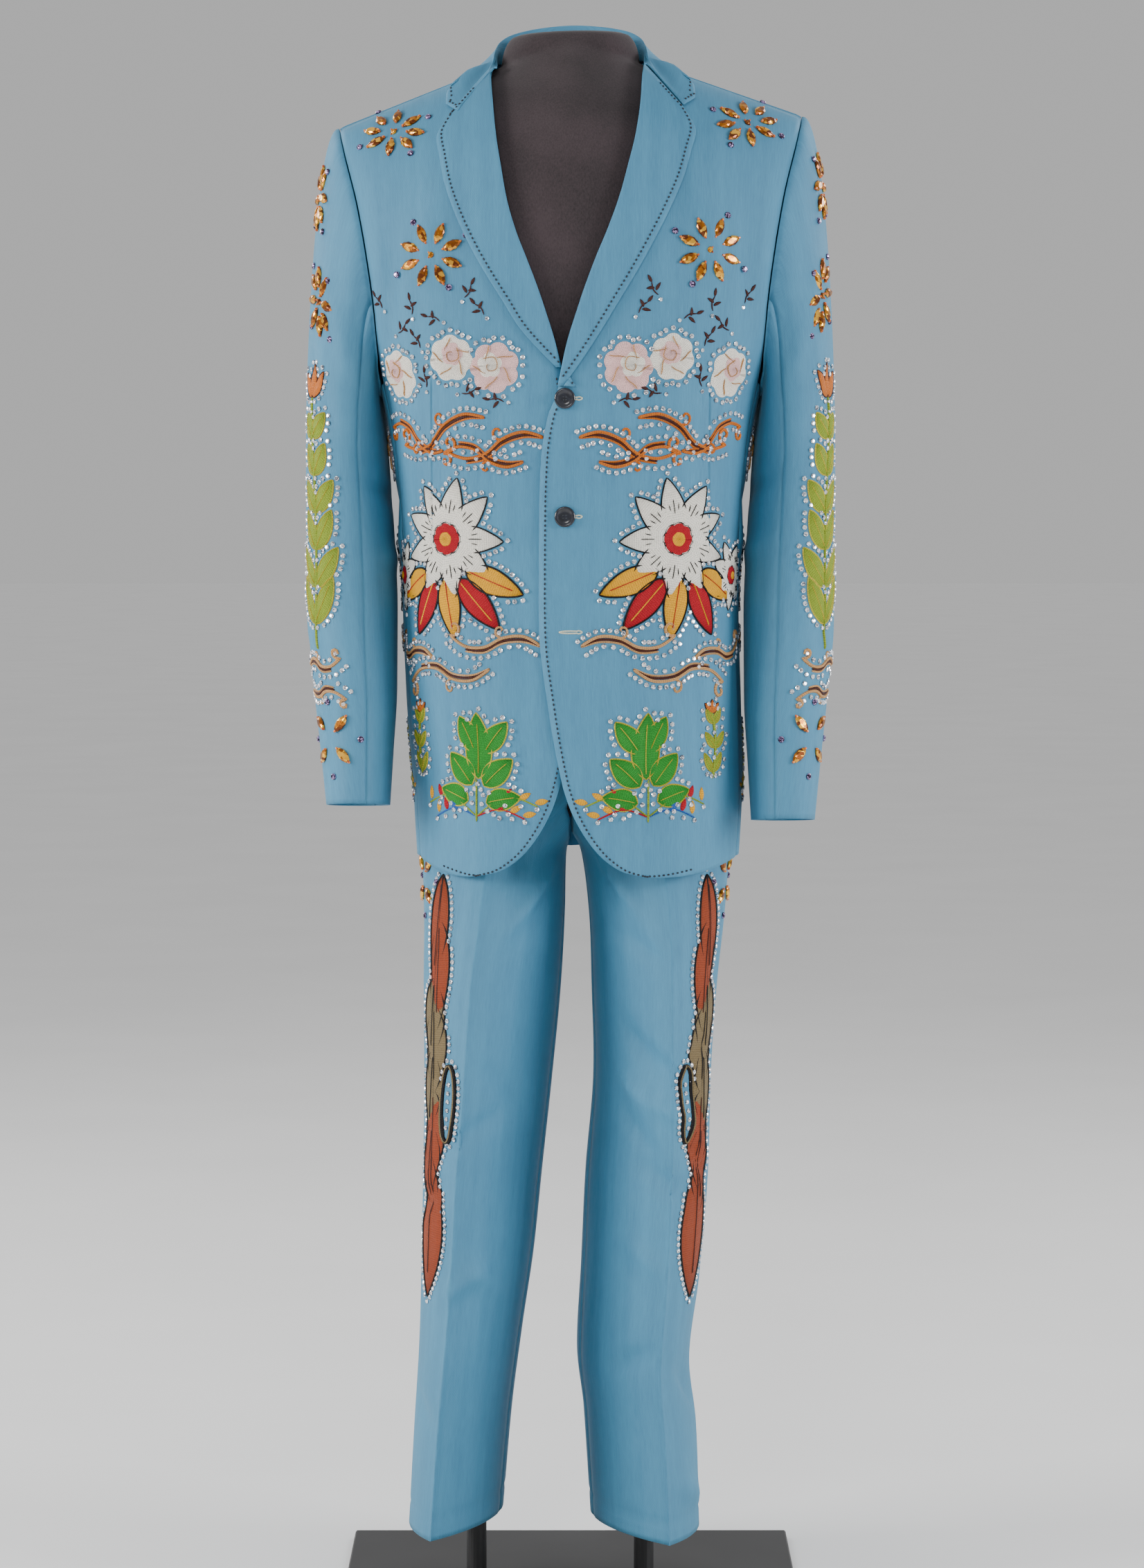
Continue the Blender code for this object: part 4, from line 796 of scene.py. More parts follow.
LAPEL_FLAT, LAPEL_AREA, LAPEL_STOPS, LAPEL_START_IN = (0.075, 0.290), 0.0125, 14, 0.006
ROLL_SHARES = (0.95, 0.72, 0.5, 0.3, 0.14)


def lapel_ends(side):
    start = LAPEL_START[side]
    ends = []
    for z_in, z_out in zip([start, *LAPEL_INNER_Z], [start, *LAPEL_OUTER_Z]):
        x_in = own_x(read(FRONT_EDGE, z_in, "x") + LAPEL_IN, z_in, side)
        edge = read(LAPEL_EDGE, z_out, "x") + LAPEL_IN
        if side < 0:
            edge = min(edge, LAPEL_FOOT + z_out - start)
        ends.append((x_in, z_in, max(own_x(edge, z_out, side), x_in + LAPEL_NARROW), z_out))
    x_in = own_x(read(FRONT_EDGE, GORGE_EDGE_Z, "x") + LAPEL_IN, GORGE_EDGE_Z, side)
    return steps_along([*ends, (x_in, GORGE_Z, own_x(NOTCH[1], NOTCH[0], side), NOTCH[0])], CLOTH_STEP)


for side, word in SIDES:
    ends = lapel_ends(side)
    rows = []
    for e in ends:
        row = body_row(e, side, True, spread(0, 1, LAPEL_STOPS))
        row = raised(row, side, LIE + LAPEL_OVER + LAPEL_RISE * smooth(row[0][0].z, *LAPEL_RISE_OVER))
        (first, normal), (second, _) = row[0], row[1]
        inward = (first - second).normalized()
        roll = [(first + inward * LAPEL_ROUND * math.sin(t) - normal * LAPEL_DROP * (1 - math.cos(t)),
                 (inward * math.sin(t) + normal * math.cos(t)).normalized())
                for t in (math.pi * share for share in ROLL_SHARES)]
        rows.append(roll + row)
    cut_piece(f"lapel_{word}", rows, [e[0] - LAPEL_START_IN for e in ends],
              thick=LAPEL_WALL)

# Collar
# One felt-backed strip with a stand and a leaf, pressed to fall over itself and sewn round the neck
# to the fronts' gorge and the backs.
COLLAR = [
    ("fold_x", "fold_y", "fold_z", "leaf_x", "leaf_z", "neck_x", "neck_z", "behind"),
    (0.0722, -0.026, 1.4390, 0.1140, 1.4045, 0.0705, 1.4350, 0),
    (0.0720, -0.014, 1.4440, 0.1115, 1.4120, 0.0705, 1.4378, 0),
    (0.0712, 0.000, 1.4510, 0.1002, 1.4220, 0.0705, 1.4405, 0),
    (0.0695, 0.016, 1.4585, 0.0930, 1.4312, 0.0700, 1.4424, 1),
    (0.0650, 0.033, 1.4670, 0.0860, 1.4290, 0.0600, 1.4425, 1),
    (0.0530, 0.049, 1.4750, 0.0690, 1.4270, 0.0450, 1.4430, 1),
    (0.0290, 0.061, 1.4810, 0.0370, 1.4260, 0.0250, 1.4450, 1),
    (0.0000, 0.066, 1.4835, 0.0000, 1.4250, 0.0000, 1.4470, 1),
]
COLLAR_LIE, COLLAR_FOLD, COLLAR_TIP = LIE + 0.0025, 0.0024, (1.3996, 0.1165)
COLLAR_FOOT_IN, COLLAR_FOOT_UP, COLLAR_DROP, COLLAR_ROUND = 0.0028, 0.0010, 0.004, 0.0012
COLLAR_OVER, GORGE_LIE, COLLAR_FINE, COLLAR_FINE_ROUND = COLLAR_LIE * 1.7, LIE + 0.0020, 4, 5
GORGE = [(0.0700, 1.4330), (0.0715, 1.4330), (0.0730, 1.4330), (0.0800, 1.4245),
         (0.0945, 1.4062), (0.1052, 1.3920), COLLAR_TIP[::-1]]


def collar_lines():
    """Half the collar from the gorge to the back: each line runs over the fold to the leaf's edge."""
    lines = [[]]
    for x, z in GORGE:
        p, normal = on_body(own_x(x, z, 1), z, 1, True)
        lines[0].append(p + normal * GORGE_LIE)
    up = Vector((0, 0, 1))
    for row in COLLAR[2:]:
        fold, front = Vector(row[:3]), not row[7]
        neck = on_body(row[5], row[6], 1, front)[0]
        leaf, leaf_normal = on_body(row[3], row[4], 1, front)
        edge = leaf + leaf_normal * COLLAR_LIE
        inward = Vector((-fold.x, RIDGE_Y - 0.004 - fold.y, 0)).normalized()
        foot = neck + inward * COLLAR_FOOT_IN + up * COLLAR_FOOT_UP
        inside = fold + inward * COLLAR_FOLD - up * COLLAR_DROP
        outside = fold - inward * COLLAR_FOLD - up * COLLAR_DROP
        half_way = outside.lerp(edge, 0.5) - inward * COLLAR_ROUND
        if half_way.z < ridge_z(half_way.x):
            under, normal = on_body(half_way.x, half_way.z, 1, front)
            half_way += normal * max(COLLAR_OVER - (half_way - under).dot(normal), 0)
        lines.append([foot, foot.lerp(inside, 0.5), inside, fold, outside, half_way, edge])
    return lines


def rounded(points, count):
    """More points along a smooth curve through the given ones."""
    made = []
    last = len(points) - 1
    for k in range(last):
        a, b = points[max(k - 1, 0)], points[k]
        c, d = points[k + 1], points[min(k + 2, last)]
        for t in (i / count for i in range(count)):
            made.append(0.5 * (2 * b + (c - a) * t + (2 * a - 5 * b + 4 * c - d) * t * t
                               + (3 * b - a - 3 * c + d) * t ** 3))
    return made + [points[-1]]


half = collar_lines()
whole = half + [[Vector((-p.x, p.y, p.z)) for p in line] for line in half[-2::-1]]
ends = [[p.lerp(q, t / COLLAR_FINE) for p, q in zip(line, line[1:]) for t in range(COLLAR_FINE)]
        + [line[-1]] for line in (whole[0], whole[-1])]
whole = [ends[0], *[rounded(line, COLLAR_FINE) for line in whole[1:-1]], ends[1]]
whole = [list(line) for line in zip(*[rounded(list(line), COLLAR_FINE_ROUND) for line in zip(*whole)])]
rows = []
for k, line in enumerate(whole):
    row = []
    for j, p in enumerate(line):
        before, after = line[max(j - 1, 0)], line[min(j + 1, len(line) - 1)]
        back, ahead = whole[max(k - 1, 0)][j], whole[min(k + 1, len(whole) - 1)][j]
        row.append((p, (after - before).cross(ahead - back).normalized()))
    rows.append(row)
cut_piece("collar", rows, [0.0] * len(rows))

# Sleeves
# Two-piece sleeves, a top and an under half seamed in front and behind the elbow, eased into the
# armhole so that the head stands a little full, and open at the cuffs.
SLEEVE = [
    ("z", "inner", "outer", "mid", "deep"),
    (1.080, 0.1705, 0.2475, 0.004, 0.079), (1.000, 0.1650, 0.2475, 0.000, 0.077),
    (0.930, 0.1620, 0.2465, -0.010, 0.073), (0.860, 0.1620, 0.2395, -0.025, 0.069),
    (0.800, 0.1650, 0.2325, -0.038, 0.064), (0.748, 0.1680, 0.2270, -0.047, 0.059),
]
SLEEVE_DROP, SLEEVE_ROUND, SLEEVE_OUT = {1: 0.008, -1: -0.006}, 2 / 2.2, (0.21, 0, 0.02)
CUFF_TILT, CUFF_Y, CUFF_FROM = 0.10, -0.045, (1.6, 2.0)
SLEEVE_FRONT_SEAM, SLEEVE_BACK_SEAM = math.radians(108), math.radians(-118)
SLEEVE_AXIS, ARM_STOPS, UNDER_STOPS = (0.205, -0.01, -0.03), 14, 8
UNDER_TURN, UNDER_LOW_TURN, UNDER_LIFT, UNDER_LIFT_OVER = {1: 21, -1: -35}, -4, 0.021, (12, 21)


def sleeve_ring(turn, z):
    inner, outer, mid, deep = (read(SLEEVE, z, name) for name in SLEEVE[0][1:])
    cosine, sine = math.cos(turn), math.sin(turn)
    x = (inner + outer) / 2 + (outer - inner) / 2 * math.copysign(abs(cosine) ** SLEEVE_ROUND, cosine)
    return x, mid - deep * math.copysign(abs(sine) ** SLEEVE_ROUND, sine)


def armhole_loop():
    """The left armhole seam, as front and back halves from shoulder to underarm."""
    halves = []
    for table, way in ((ARMHOLE_FRONT, 1), (ARMHOLE_BACK, -1)):
        points = []
        for z in spread(RIDGE_OUT, ARM_LOW, ARM_STOPS):
            points.append(body(turn_of(min(read(table, z, "x"), SHOULDER_X), z) * way, z, 1))
        for turn in spread(UNDER_TURN[way], UNDER_LOW_TURN, UNDER_STOPS)[1:]:
            z = read(UNDERARM, min(turn, UNDERARM[1][0]), "z") + UNDER_LIFT * smooth(turn, *UNDER_LIFT_OVER)
            points.append(body(math.radians(turn), z, 1))
        halves.append(points)
    return halves


def along(points, share):
    lengths = [0.0]
    for a, b in zip(points, points[1:]):
        lengths.append(lengths[-1] + (b - a).length)
    target = share * lengths[-1]
    for k in range(len(points) - 1):
        if target <= lengths[k + 1] or k == len(points) - 2:
            t = (target - lengths[k]) / (lengths[k + 1] - lengths[k])
            return points[k].lerp(points[k + 1], share_of(t, 0, 1))


armhole = armhole_loop()


def sleeve(turn, down, side):
    """A point on a sleeve: down is 0 at the armhole, 1 at the underarm ring, and 2 at the cuff."""
    turn = (turn + math.pi) % (2 * math.pi) - math.pi
    top_z, cuff_z = SLEEVE[1][0], SLEEVE[-1][0]
    if down >= 1:
        z = top_z + (cuff_z - top_z) * (down - 1)
        x, y = sleeve_ring(turn, z)
        shift = -SLEEVE_DROP[side] * (down - 1) - CUFF_TILT * (y - CUFF_Y) * smooth(down, *CUFF_FROM)
        return Vector((side * x, y, z + shift))
    start = along(armhole[turn < 0], abs(turn) / math.pi) + Vector((SEAM + MIDDLE_GAP, 0, 0))
    end = Vector((*sleeve_ring(turn, top_z), top_z))
    reach = (end - start).length
    t = down
    p = start * (1 + 2 * t) * (1 - t) ** 2 + Vector(SLEEVE_OUT) * reach * t * (1 - t) ** 2
    p += end * t * t * (3 - 2 * t) + Vector((0, 0, -reach)) * t * t * (t - 1)
    return Vector((side * p.x, p.y, p.z))


def sleeve_normal(turn, down, side):
    step, low = 0.01, min(max(down, 0.02), 1.98)
    across = sleeve(turn + step, low, side) - sleeve(turn - step, low, side)
    fall = sleeve(turn, low + step, side) - sleeve(turn, low - step, side)
    normal = across.cross(fall).normalized()
    p = sleeve(turn, low, side)
    middle = Vector((side * SLEEVE_AXIS[0], SLEEVE_AXIS[1], p.z + SLEEVE_AXIS[2]))
    return normal if normal.dot(p - middle) > 0 else -normal


SLEEVE_FOLDS = {
    ("top", 1): [
        (-0.100, 1.020, 0.020, 0.985, 0.0094, -0.0028), (-0.110, 0.985, 0.010, 0.960, 0.0086, 0.0025),
        (0.030, 1.180, 0.095, 1.080, 0.0101, -0.0025), (0.060, 1.250, 0.105, 1.140, 0.0094, 0.0022),
        (0.020, 0.930, 0.090, 0.905, 0.0101, -0.0020)],
    ("top", -1): [
        (-0.100, 1.010, 0.015, 0.975, 0.0094, -0.0028), (-0.105, 0.970, 0.020, 0.950, 0.0086, 0.0025),
        (0.035, 1.190, 0.095, 1.090, 0.0101, -0.0025), (0.065, 1.245, 0.105, 1.150, 0.0094, 0.0020),
        (0.010, 0.900, 0.085, 0.885, 0.0101, -0.0020)],
    ("under", 1): [
        (0.005, 1.060, 0.090, 1.040, 0.0086, -0.0031), (0.010, 1.000, 0.100, 0.985, 0.0086, 0.0025)],
    ("under", -1): [
        (0.005, 1.055, 0.090, 1.035, 0.0086, -0.0031), (0.010, 0.990, 0.100, 0.980, 0.0086, 0.0025)],
}
SLEEVE_HALVES = (("top", SLEEVE_BACK_SEAM, SLEEVE_FRONT_SEAM, 44, (0.225, 0.660), 0.127),
                 ("under", SLEEVE_FRONT_SEAM, SLEEVE_BACK_SEAM + 2 * math.pi, 26, (0.140, 0.510), 0.058))
SLEEVE_DIPS = {"left": 0.0008, "right": 0.0008, "bottom": 0.0008}
for side, word in SIDES:
    for half, first, last, count, flat_size, area in SLEEVE_HALVES:
        turns = spread(first, last, count)
        middle = 0
        if half == "top":
            middle = min(range(count), key=lambda k: abs(turns[k]))
            turns[middle] = 0.0
        rows = [[(sleeve(t, down, side), sleeve_normal(t, down, side)) for t in turns]
                for down in (0.0, 0.012, 0.028, *spread(0.05, 1.0, 40), *spread(1.017, 2.0, 58))]
        starts = [-level_length(row[:middle + 1]) for row in rows]
        cut_piece(f"sleeve_{half}_{word}", rows, starts, SLEEVE_FOLDS[half, side],
                  SLEEVE_DIPS)

# Embroidery
# Chain-stitched rayon worked through the cloth by hand machine: filled petals and leaves in close
# rows, with thick corded outlines and stems. Each piece of work lies on its own panel.
STITCH = {
    "white": (0.90, 0.86, 0.77), "pink": (0.84, 0.53, 0.52), "black": (0.008, 0.007, 0.008),
    "brown": (0.060, 0.016, 0.012), "orange": (0.58, 0.15, 0.014), "amber": (0.72, 0.33, 0.03),
    "tan": (0.56, 0.30, 0.12), "red": (0.42, 0.004, 0.014), "yellow": (0.80, 0.38, 0.010),
    "green": (0.018, 0.25, 0.022), "lime": (0.25, 0.34, 0.024), "rust": (0.30, 0.048, 0.013),
    "khaki": (0.20, 0.145, 0.068), "blue": (0.02, 0.11, 0.42), "gold": (0.50, 0.42, 0.04),
}
BORDER, GRAIN, STONE, STONE_GAP = 0.0044, 0.0057, 0.0024, 0.0048
CORD_STEP, CORD_LOW, FILL_LOW, LINE = 0.0022, 0.0003, 0.0002, 0.0016
CORD_SHAPE = ((-0.5, -0.15), (-0.36, 0.62), (0.0, 1.0), (0.36, 0.62), (0.5, -0.15))
Work = namedtuple("Work", "points faces colours flat fills borders stones")
work = {}


def worked(part):
    return work.setdefault(part, Work([], [], [], [], [], [], []))


def place_on(part, a, b):
    """The point and normal of a piece at its flat place (a, b), or at the nearest one to it."""
    panel = panels[part]
    hit, _, index, _ = panel.tree.find_nearest(Vector((a, b, 0.0)))
    at = panel.corners[index]
    point, normal = (barycentric_transform(hit, *(panel.flat[k] for k in at), *(source[k] for k in at))
                     for source in (panel.points, panel.normals))
    return point, normal.normalized()


def place_out(part, u, v):
    """The point and normal of a piece at u outwards from the button line, or from its own middle."""
    if part.startswith("jacket_front"):
        u = own_x(u, v, 1 if part.endswith("left") else -1)
    return place_on(part, u, v)


def close_path(points, step):
    """Even points along a smooth path through the given (u, v) points."""
    fine = rounded([Vector((u, v, 0)) for u, v in points], 8)
    lengths = [0.0]
    for p, q in zip(fine, fine[1:]):
        lengths.append(lengths[-1] + (q - p).length)
    count = max(round(lengths[-1] / step), 2)
    made, k = [], 0
    for want in spread(0, lengths[-1], count + 1):
        while k < len(fine) - 2 and lengths[k + 1] < want:
            k += 1
        t = (want - lengths[k]) / max(lengths[k + 1] - lengths[k], 1e-9)
        made.append(fine[k].lerp(fine[k + 1], t))
    return made


def with_sides(path):
    """Each point of a path with the way to its left."""
    for k, p in enumerate(path):
        way = (path[min(k + 1, len(path) - 1)] - path[max(k - 1, 0)]).normalized()
        yield p, Vector((-way.y, way.x, 0))


def around(u, v, far, turn):
    return u + far * math.cos(turn), v + far * math.sin(turn)


def stitched(part, rows, colour, closed=False):
    """Rows of (u, v, height, along, across) laid on a piece as one stitched patch."""
    kit = worked(part)
    kit.faces.extend(grid_faces(len(rows), len(rows[0]), closed, len(kit.points)))
    for u, v, height, run, side_run in (place for row in rows for place in row):
        p, n = place_out(part, u, v)
        kit.points.append(p + n * height)
        kit.colours.append(colour)
        kit.flat.append((run, side_run))


def cord(part, points, width, colour, high=None):
    """A corded line of chain stitch through the given (u, v) points."""
    path = close_path(points, CORD_STEP)
    high = high or width * 0.55
    rows, run = [], 0.0
    for k, (p, left) in enumerate(with_sides(path)):
        run += (p - path[k - 1]).length if k else 0.0
        end = 0.45 if k in (0, len(path) - 1) else 1.0
        across = [(p + left * (s * width * end), s, h) for s, h in CORD_SHAPE]
        rows.append([(q.x, q.y, CORD_LOW + high * h * end, run, s * width) for q, s, h in across])
    stitched(part, rows, colour)


def leaf_outline(u, v, long, wide, turn, bend, blunt, count=13):
    """The two sides of a leaf from its foot at (u, v): turn is its way, bend its curl."""
    left, right = [], []
    cosine, sine = math.cos(turn), math.sin(turn)
    for t in spread(0, 1, count):
        x, aside = long * t, bend * long * t * t
        half = wide / 2 * math.sin(math.pi * t ** (0.5 + blunt * 0.9)) ** 0.8 if 0 < t < 1 else 0.0
        for made, y in ((left, aside + half), (right, aside - half)):
            made.append((u + x * cosine - y * sine, v + x * sine + y * cosine))
    return left, right


def bordered(part, outline, edges, line, edge, stones):
    """Notes a filled shape, with a corded edge and a row of stones round it if wanted."""
    worked(part).fills.append(outline)
    if edge:
        for points in edges:
            cord(part, points, line, edge)
    if stones:
        worked(part).borders.append(outline)


def leaf(part, u, v, long, wide, turn, colour, edge=None, bend=0.0, blunt=0.5, vein=None, line=LINE,
         stones=False, high=0.0013):
    """A filled leaf or petal, with a vein if wanted."""
    left, right = leaf_outline(u, v, long, wide, turn, bend, blunt)
    last = len(left) - 1
    rows = []
    for k, ((u0, v0), (u1, v1)) in enumerate(zip(left, right)):
        dome = high * (math.sin(math.pi * k / last) ** 0.4 if 0 < k < last else 0.0)
        rows.append([(u0 + (u1 - u0) * s, v0 + (v1 - v0) * s, FILL_LOW + dome * (1 - abs(2 * s - 1) ** 3),
                      long * k / last, (s - 0.5) * wide) for s in spread(0, 1, 7)])
    stitched(part, rows, colour)
    bordered(part, left + right[-2:0:-1], (left, right), line, edge, stones)
    if vein:
        spine = [((a[0] + b[0]) / 2, (a[1] + b[1]) / 2) for a, b in zip(left, right)][1:-2]
        cord(part, spine, line * 0.75, vein, high=high + 0.0007)


def disc(part, outline, colour, edge=None, line=LINE, high=0.0014, stones=False):
    """A filled round shape worked in rings towards its middle."""
    mid_u, mid_v = (sum(place) / len(outline) for place in zip(*outline))
    runs = [0.0]
    for p, q in zip(outline, outline[1:]):
        runs.append(runs[-1] + math.dist(p, q))
    rows = []
    for share in (1.0, 0.94, 0.84, 0.68, 0.5, 0.32, 0.15, 0.02):
        rise = FILL_LOW + high * (1 - share ** 3) ** 0.6
        rows.append([(mid_u + (u - mid_u) * share, mid_v + (v - mid_v) * share, rise, run,
                      (1 - share) * math.dist((u, v), (mid_u, mid_v)))
                     for (u, v), run in zip(outline, runs)])
    stitched(part, rows, colour, closed=True)
    bordered(part, outline, [outline + outline[:1]], line, edge, stones)


def lobes(u, v, radius, count, depth, turn=0.0, fine=7):
    """The outline of a rose head: a circle with rounded lobes."""
    made = []
    for k in range(count * fine):
        t = 2 * math.pi * k / (count * fine)
        full = abs(math.sin(count * (t - turn) / 2)) ** 0.7
        made.append(around(u, v, radius * (1 - depth + depth * full), t))
    return made


def rose(part, u, v, radius, petal, heart, turn):
    """A rose head in chain stitch: lobed petals, a smaller heart and curled lines between them."""
    disc(part, lobes(u, v, radius, 7, 0.16, turn), petal, stones=True)
    middle = around(u, v, radius * 0.18, turn)
    disc(part, lobes(*middle, radius * 0.56, 5, 0.2, turn + 0.4), heart, high=0.0026)
    for k in range(5):
        start = turn + 2 * math.pi * k / 5
        sweep = ((0.36, 0.0), (0.52, 0.45), (0.70, 0.75), (0.88, 0.85))
        cord(part, [around(u, v, radius * r, start + t) for r, t in sweep], 0.0012, "tan", high=0.0026)
    curl = ((0.40, 0.2), (0.36, 1.6), (0.30, 3.0), (0.22, 4.4), (0.13, 5.8), (0.04, 7.2))
    cord(part, [around(*middle, radius * r, turn + t) for r, t in curl], 0.0012, "tan", high=0.0036)


def spiral(u, v, radius, turn, laps, way):
    """Points of a curl that winds in from (u, v)."""
    middle = around(u, v, radius, turn)
    return [around(*middle, radius * (1 - 0.86 * t ** 0.8), turn + math.pi + way * laps * 2 * math.pi * t)
            for t in spread(0, 1, 14)]


def inside(outline, u, v):
    hit = False
    for (u0, v0), (u1, v1) in zip(outline, outline[1:] + outline[:1]):
        if (v0 > v) != (v1 > v) and u < (u1 - u0) * (v - v0) / (v1 - v0) + u0:
            hit = not hit
    return hit


def stone_at(part, u, v, size=STONE):
    """Notes a stone, unless one sits there already."""
    stones = worked(part).stones
    if all((u - q[0]) ** 2 + (v - q[1]) ** 2 > STONE_GAP ** 2 for q in stones):
        stones.append((u, v, size))


def stone_off_work(part, place):
    if not any(inside(outline, place.x, place.y) for outline in worked(part).fills):
        stone_at(part, place.x, place.y)


def stones_beside(part, points, away):
    """A row of stones beside a line, at the distance away on its left, or on its right if negative."""
    for p, left in with_sides(close_path(points, GRAIN)):
        stone_off_work(part, p + left * away)


def set_borders(part):
    """Stones all round the bordered shapes, but none on a neighbour's stitching."""
    for outline in worked(part).borders:
        area = sum(a[0] * b[1] - b[0] * a[1] for a, b in zip(outline, outline[1:] + outline[:1]))
        path = close_path(outline + outline[:1], GRAIN)
        for k, p in enumerate(path[:-1]):
            way = (path[k + 1] - path[k - 1 if k else -2]).normalized()
            stone_off_work(part, p + Vector((way.y, -way.x, 0)) * (BORDER if area > 0 else -BORDER))


def sprig(part, u, v, turn, size=0.0130):
    """A small twig with a bent stem, three slim leaves and one stone at its foot."""
    turn = math.radians(turn)
    cord(part, [(u, v), around(u, v, size * 0.5, turn + 0.3), around(u, v, size, turn)], 0.0013, "brown")
    for share, spin, long in ((0.98, 0.0, 0.62), (0.55, 0.95, 0.60), (0.35, -0.85, 0.66)):
        leaf(part, *around(u, v, size * share, turn), size * long, size * 0.24, turn + spin, "brown",
             bend=0.2 * spin, blunt=0.4, high=0.0010)
    stone_at(part, *around(u, v, -size * 0.34, turn), 0.0020)


def waist_leaf(part, u, v, long, turn, colour):
    leaf(part, u, v, long, 0.024, math.radians(turn), colour, "black", blunt=0.35,
         vein="red" if colour == "yellow" else "yellow", line=0.0018, stones=True)


def blossom(part, u, v, radius, petals, turn):
    """A large white flower: broad black-edged petals with short dark rays and a red and gold eye."""
    wide = 2 * math.pi * radius * 0.60 / petals * 1.02
    for k in range(petals):
        way = turn + 2 * math.pi * k / petals
        leaf(part, *around(u, v, radius * 0.17, way), radius * 0.83, wide, way, "white", "black",
             bend=0.05 * (-1) ** k, blunt=0.15, line=0.0015, stones=True)
        for spin in (-0.14, 0.0, 0.14):
            near, far = 0.40 + abs(spin) * 0.4, 0.66 - abs(spin) * 0.5
            ray = [around(u, v, radius * near, way + spin), around(u, v, radius * far, way + spin * 1.1)]
            cord(part, ray, 0.0011, "black", high=0.0021)
    disc(part, lobes(u, v, radius * 0.27, 8, 0.10, turn), "red", "black", high=0.0022)
    disc(part, lobes(u, v, radius * 0.15, 6, 0.05, turn), "yellow", "black", high=0.0030, line=0.0012)


def scrolls(part, u, v, size, colour, turn, way):
    """An S-shaped tendril of two cords that ends in a curl, with stones along it."""
    turn = math.radians(turn)
    wave = [(0.0, 0.0), (0.35, 0.16), (0.75, 0.10), (1.10, -0.10), (1.50, -0.12), (1.85, 0.06)]
    at = [(u + size * (x * math.cos(turn) - way * y * math.sin(turn)),
           v + size * (x * math.sin(turn) + way * y * math.cos(turn))) for x, y in wave]
    tail = spiral(*at[-1], size * 0.17, turn + way * 2.0, 1.1, -way)
    cord(part, at + tail[1:], 0.0031, colour)
    for off, wide, dye in ((-0.0028, 0.0022, "brown"), (-0.0049, 0.0018, colour)):
        beside = [(x - off * s * math.sin(turn), y + way * off * s * math.cos(turn))
                  for (x, y), s in zip(at[:-1], (0.15, 1.0, 1.0, 1.0, 0.9))]
        cord(part, beside, wide, dye)
    cord(part, spiral(*at[2], size * 0.15, turn + way * 1.2, 0.9, way), 0.0024, colour)
    stones_beside(part, at, 0.0054 * way)
    stones_beside(part, at, -0.0092 * way)


def spray(part, u, v, size, lean_by):
    """A fan of green leaves on a stem, edged in yellow, with small coloured buds at its foot."""
    fan = [(0.00, 1.00, 90, 0.44), (0.16, 0.62, 52, 0.38), (0.16, 0.62, 128, 0.38), (0.05, 0.56, 20, 0.34),
           (0.05, 0.56, 160, 0.34), (0.46, 0.60, 64, 0.34), (0.46, 0.60, 118, 0.34)]
    for rise, long, turn, wide in fan:
        way = math.radians(turn + lean_by)
        foot_u, foot_v = around(u, v + size * rise, size * (0.10 if rise else 0.30), way)
        foot_u += size * rise * math.sin(math.radians(-lean_by))
        leaf(part, foot_u, foot_v, size * long * 0.62, size * wide * 0.62, way, "green", "gold",
             bend=0.10 * (1 if turn > 90 else -1), blunt=0.35, vein="gold", line=0.0014, stones=True)
    cord(part, [(u, v - size * 0.10), (u, v + size * 0.30)], 0.0020, "lime")
    for way, colour, tip in ((-1, "red", "yellow"), (1, "blue", "red")):
        for lift, far in ((-0.05, 0.48), (0.07, 0.60)):
            twig = [(u, v - size * 0.05), (u + way * size * far * 0.5, v + size * (lift + 0.07)),
                    (u + way * size * far, v + size * (lift - 0.02))]
            cord(part, twig, 0.0015, colour if lift < 0 else "lime")
            for k, (share, dye) in enumerate(((0.45, colour), (0.7, tip), (0.95, "yellow"))):
                at_u, at_v = u + way * size * far * share, v + size * (lift + 0.05 * math.sin(3 * share))
                leaf(part, at_u, at_v, size * 0.13, size * 0.06, math.radians(90 - way * 40 + 20 * k), dye,
                     blunt=0.4, high=0.0009)
                stone_at(part, at_u + way * 0.002, at_v - 0.0058)


def vine(part, u, v, high, wide):
    """A tall stem with leaves in pairs and small bright ones at its top, bordered with stones."""
    def at(t):
        return u + wide * 0.16 * math.sin(3.1 * t), v + high * t

    cord(part, [at(t) for t in spread(0, 1, 7)], 0.0030, "lime")
    for k, t in enumerate(spread(0.10, 0.84, max(round(high / 0.038), 3))):
        for s in (-1, 1):
            turn = math.radians(90 - s * (38 + 8 * (k % 2)))
            leaf(part, *at(t), wide * (0.80 - 0.07 * k), wide * 0.30, turn, "lime", "gold", bend=0.12 * s,
                 blunt=0.4, vein="gold", line=0.0013, stones=True)
    for turn in (90, 48, 132):
        leaf(part, *at(1), wide * 0.50, wide * 0.20, math.radians(turn), "orange", "brown", blunt=0.3,
             line=0.0012, stones=True)


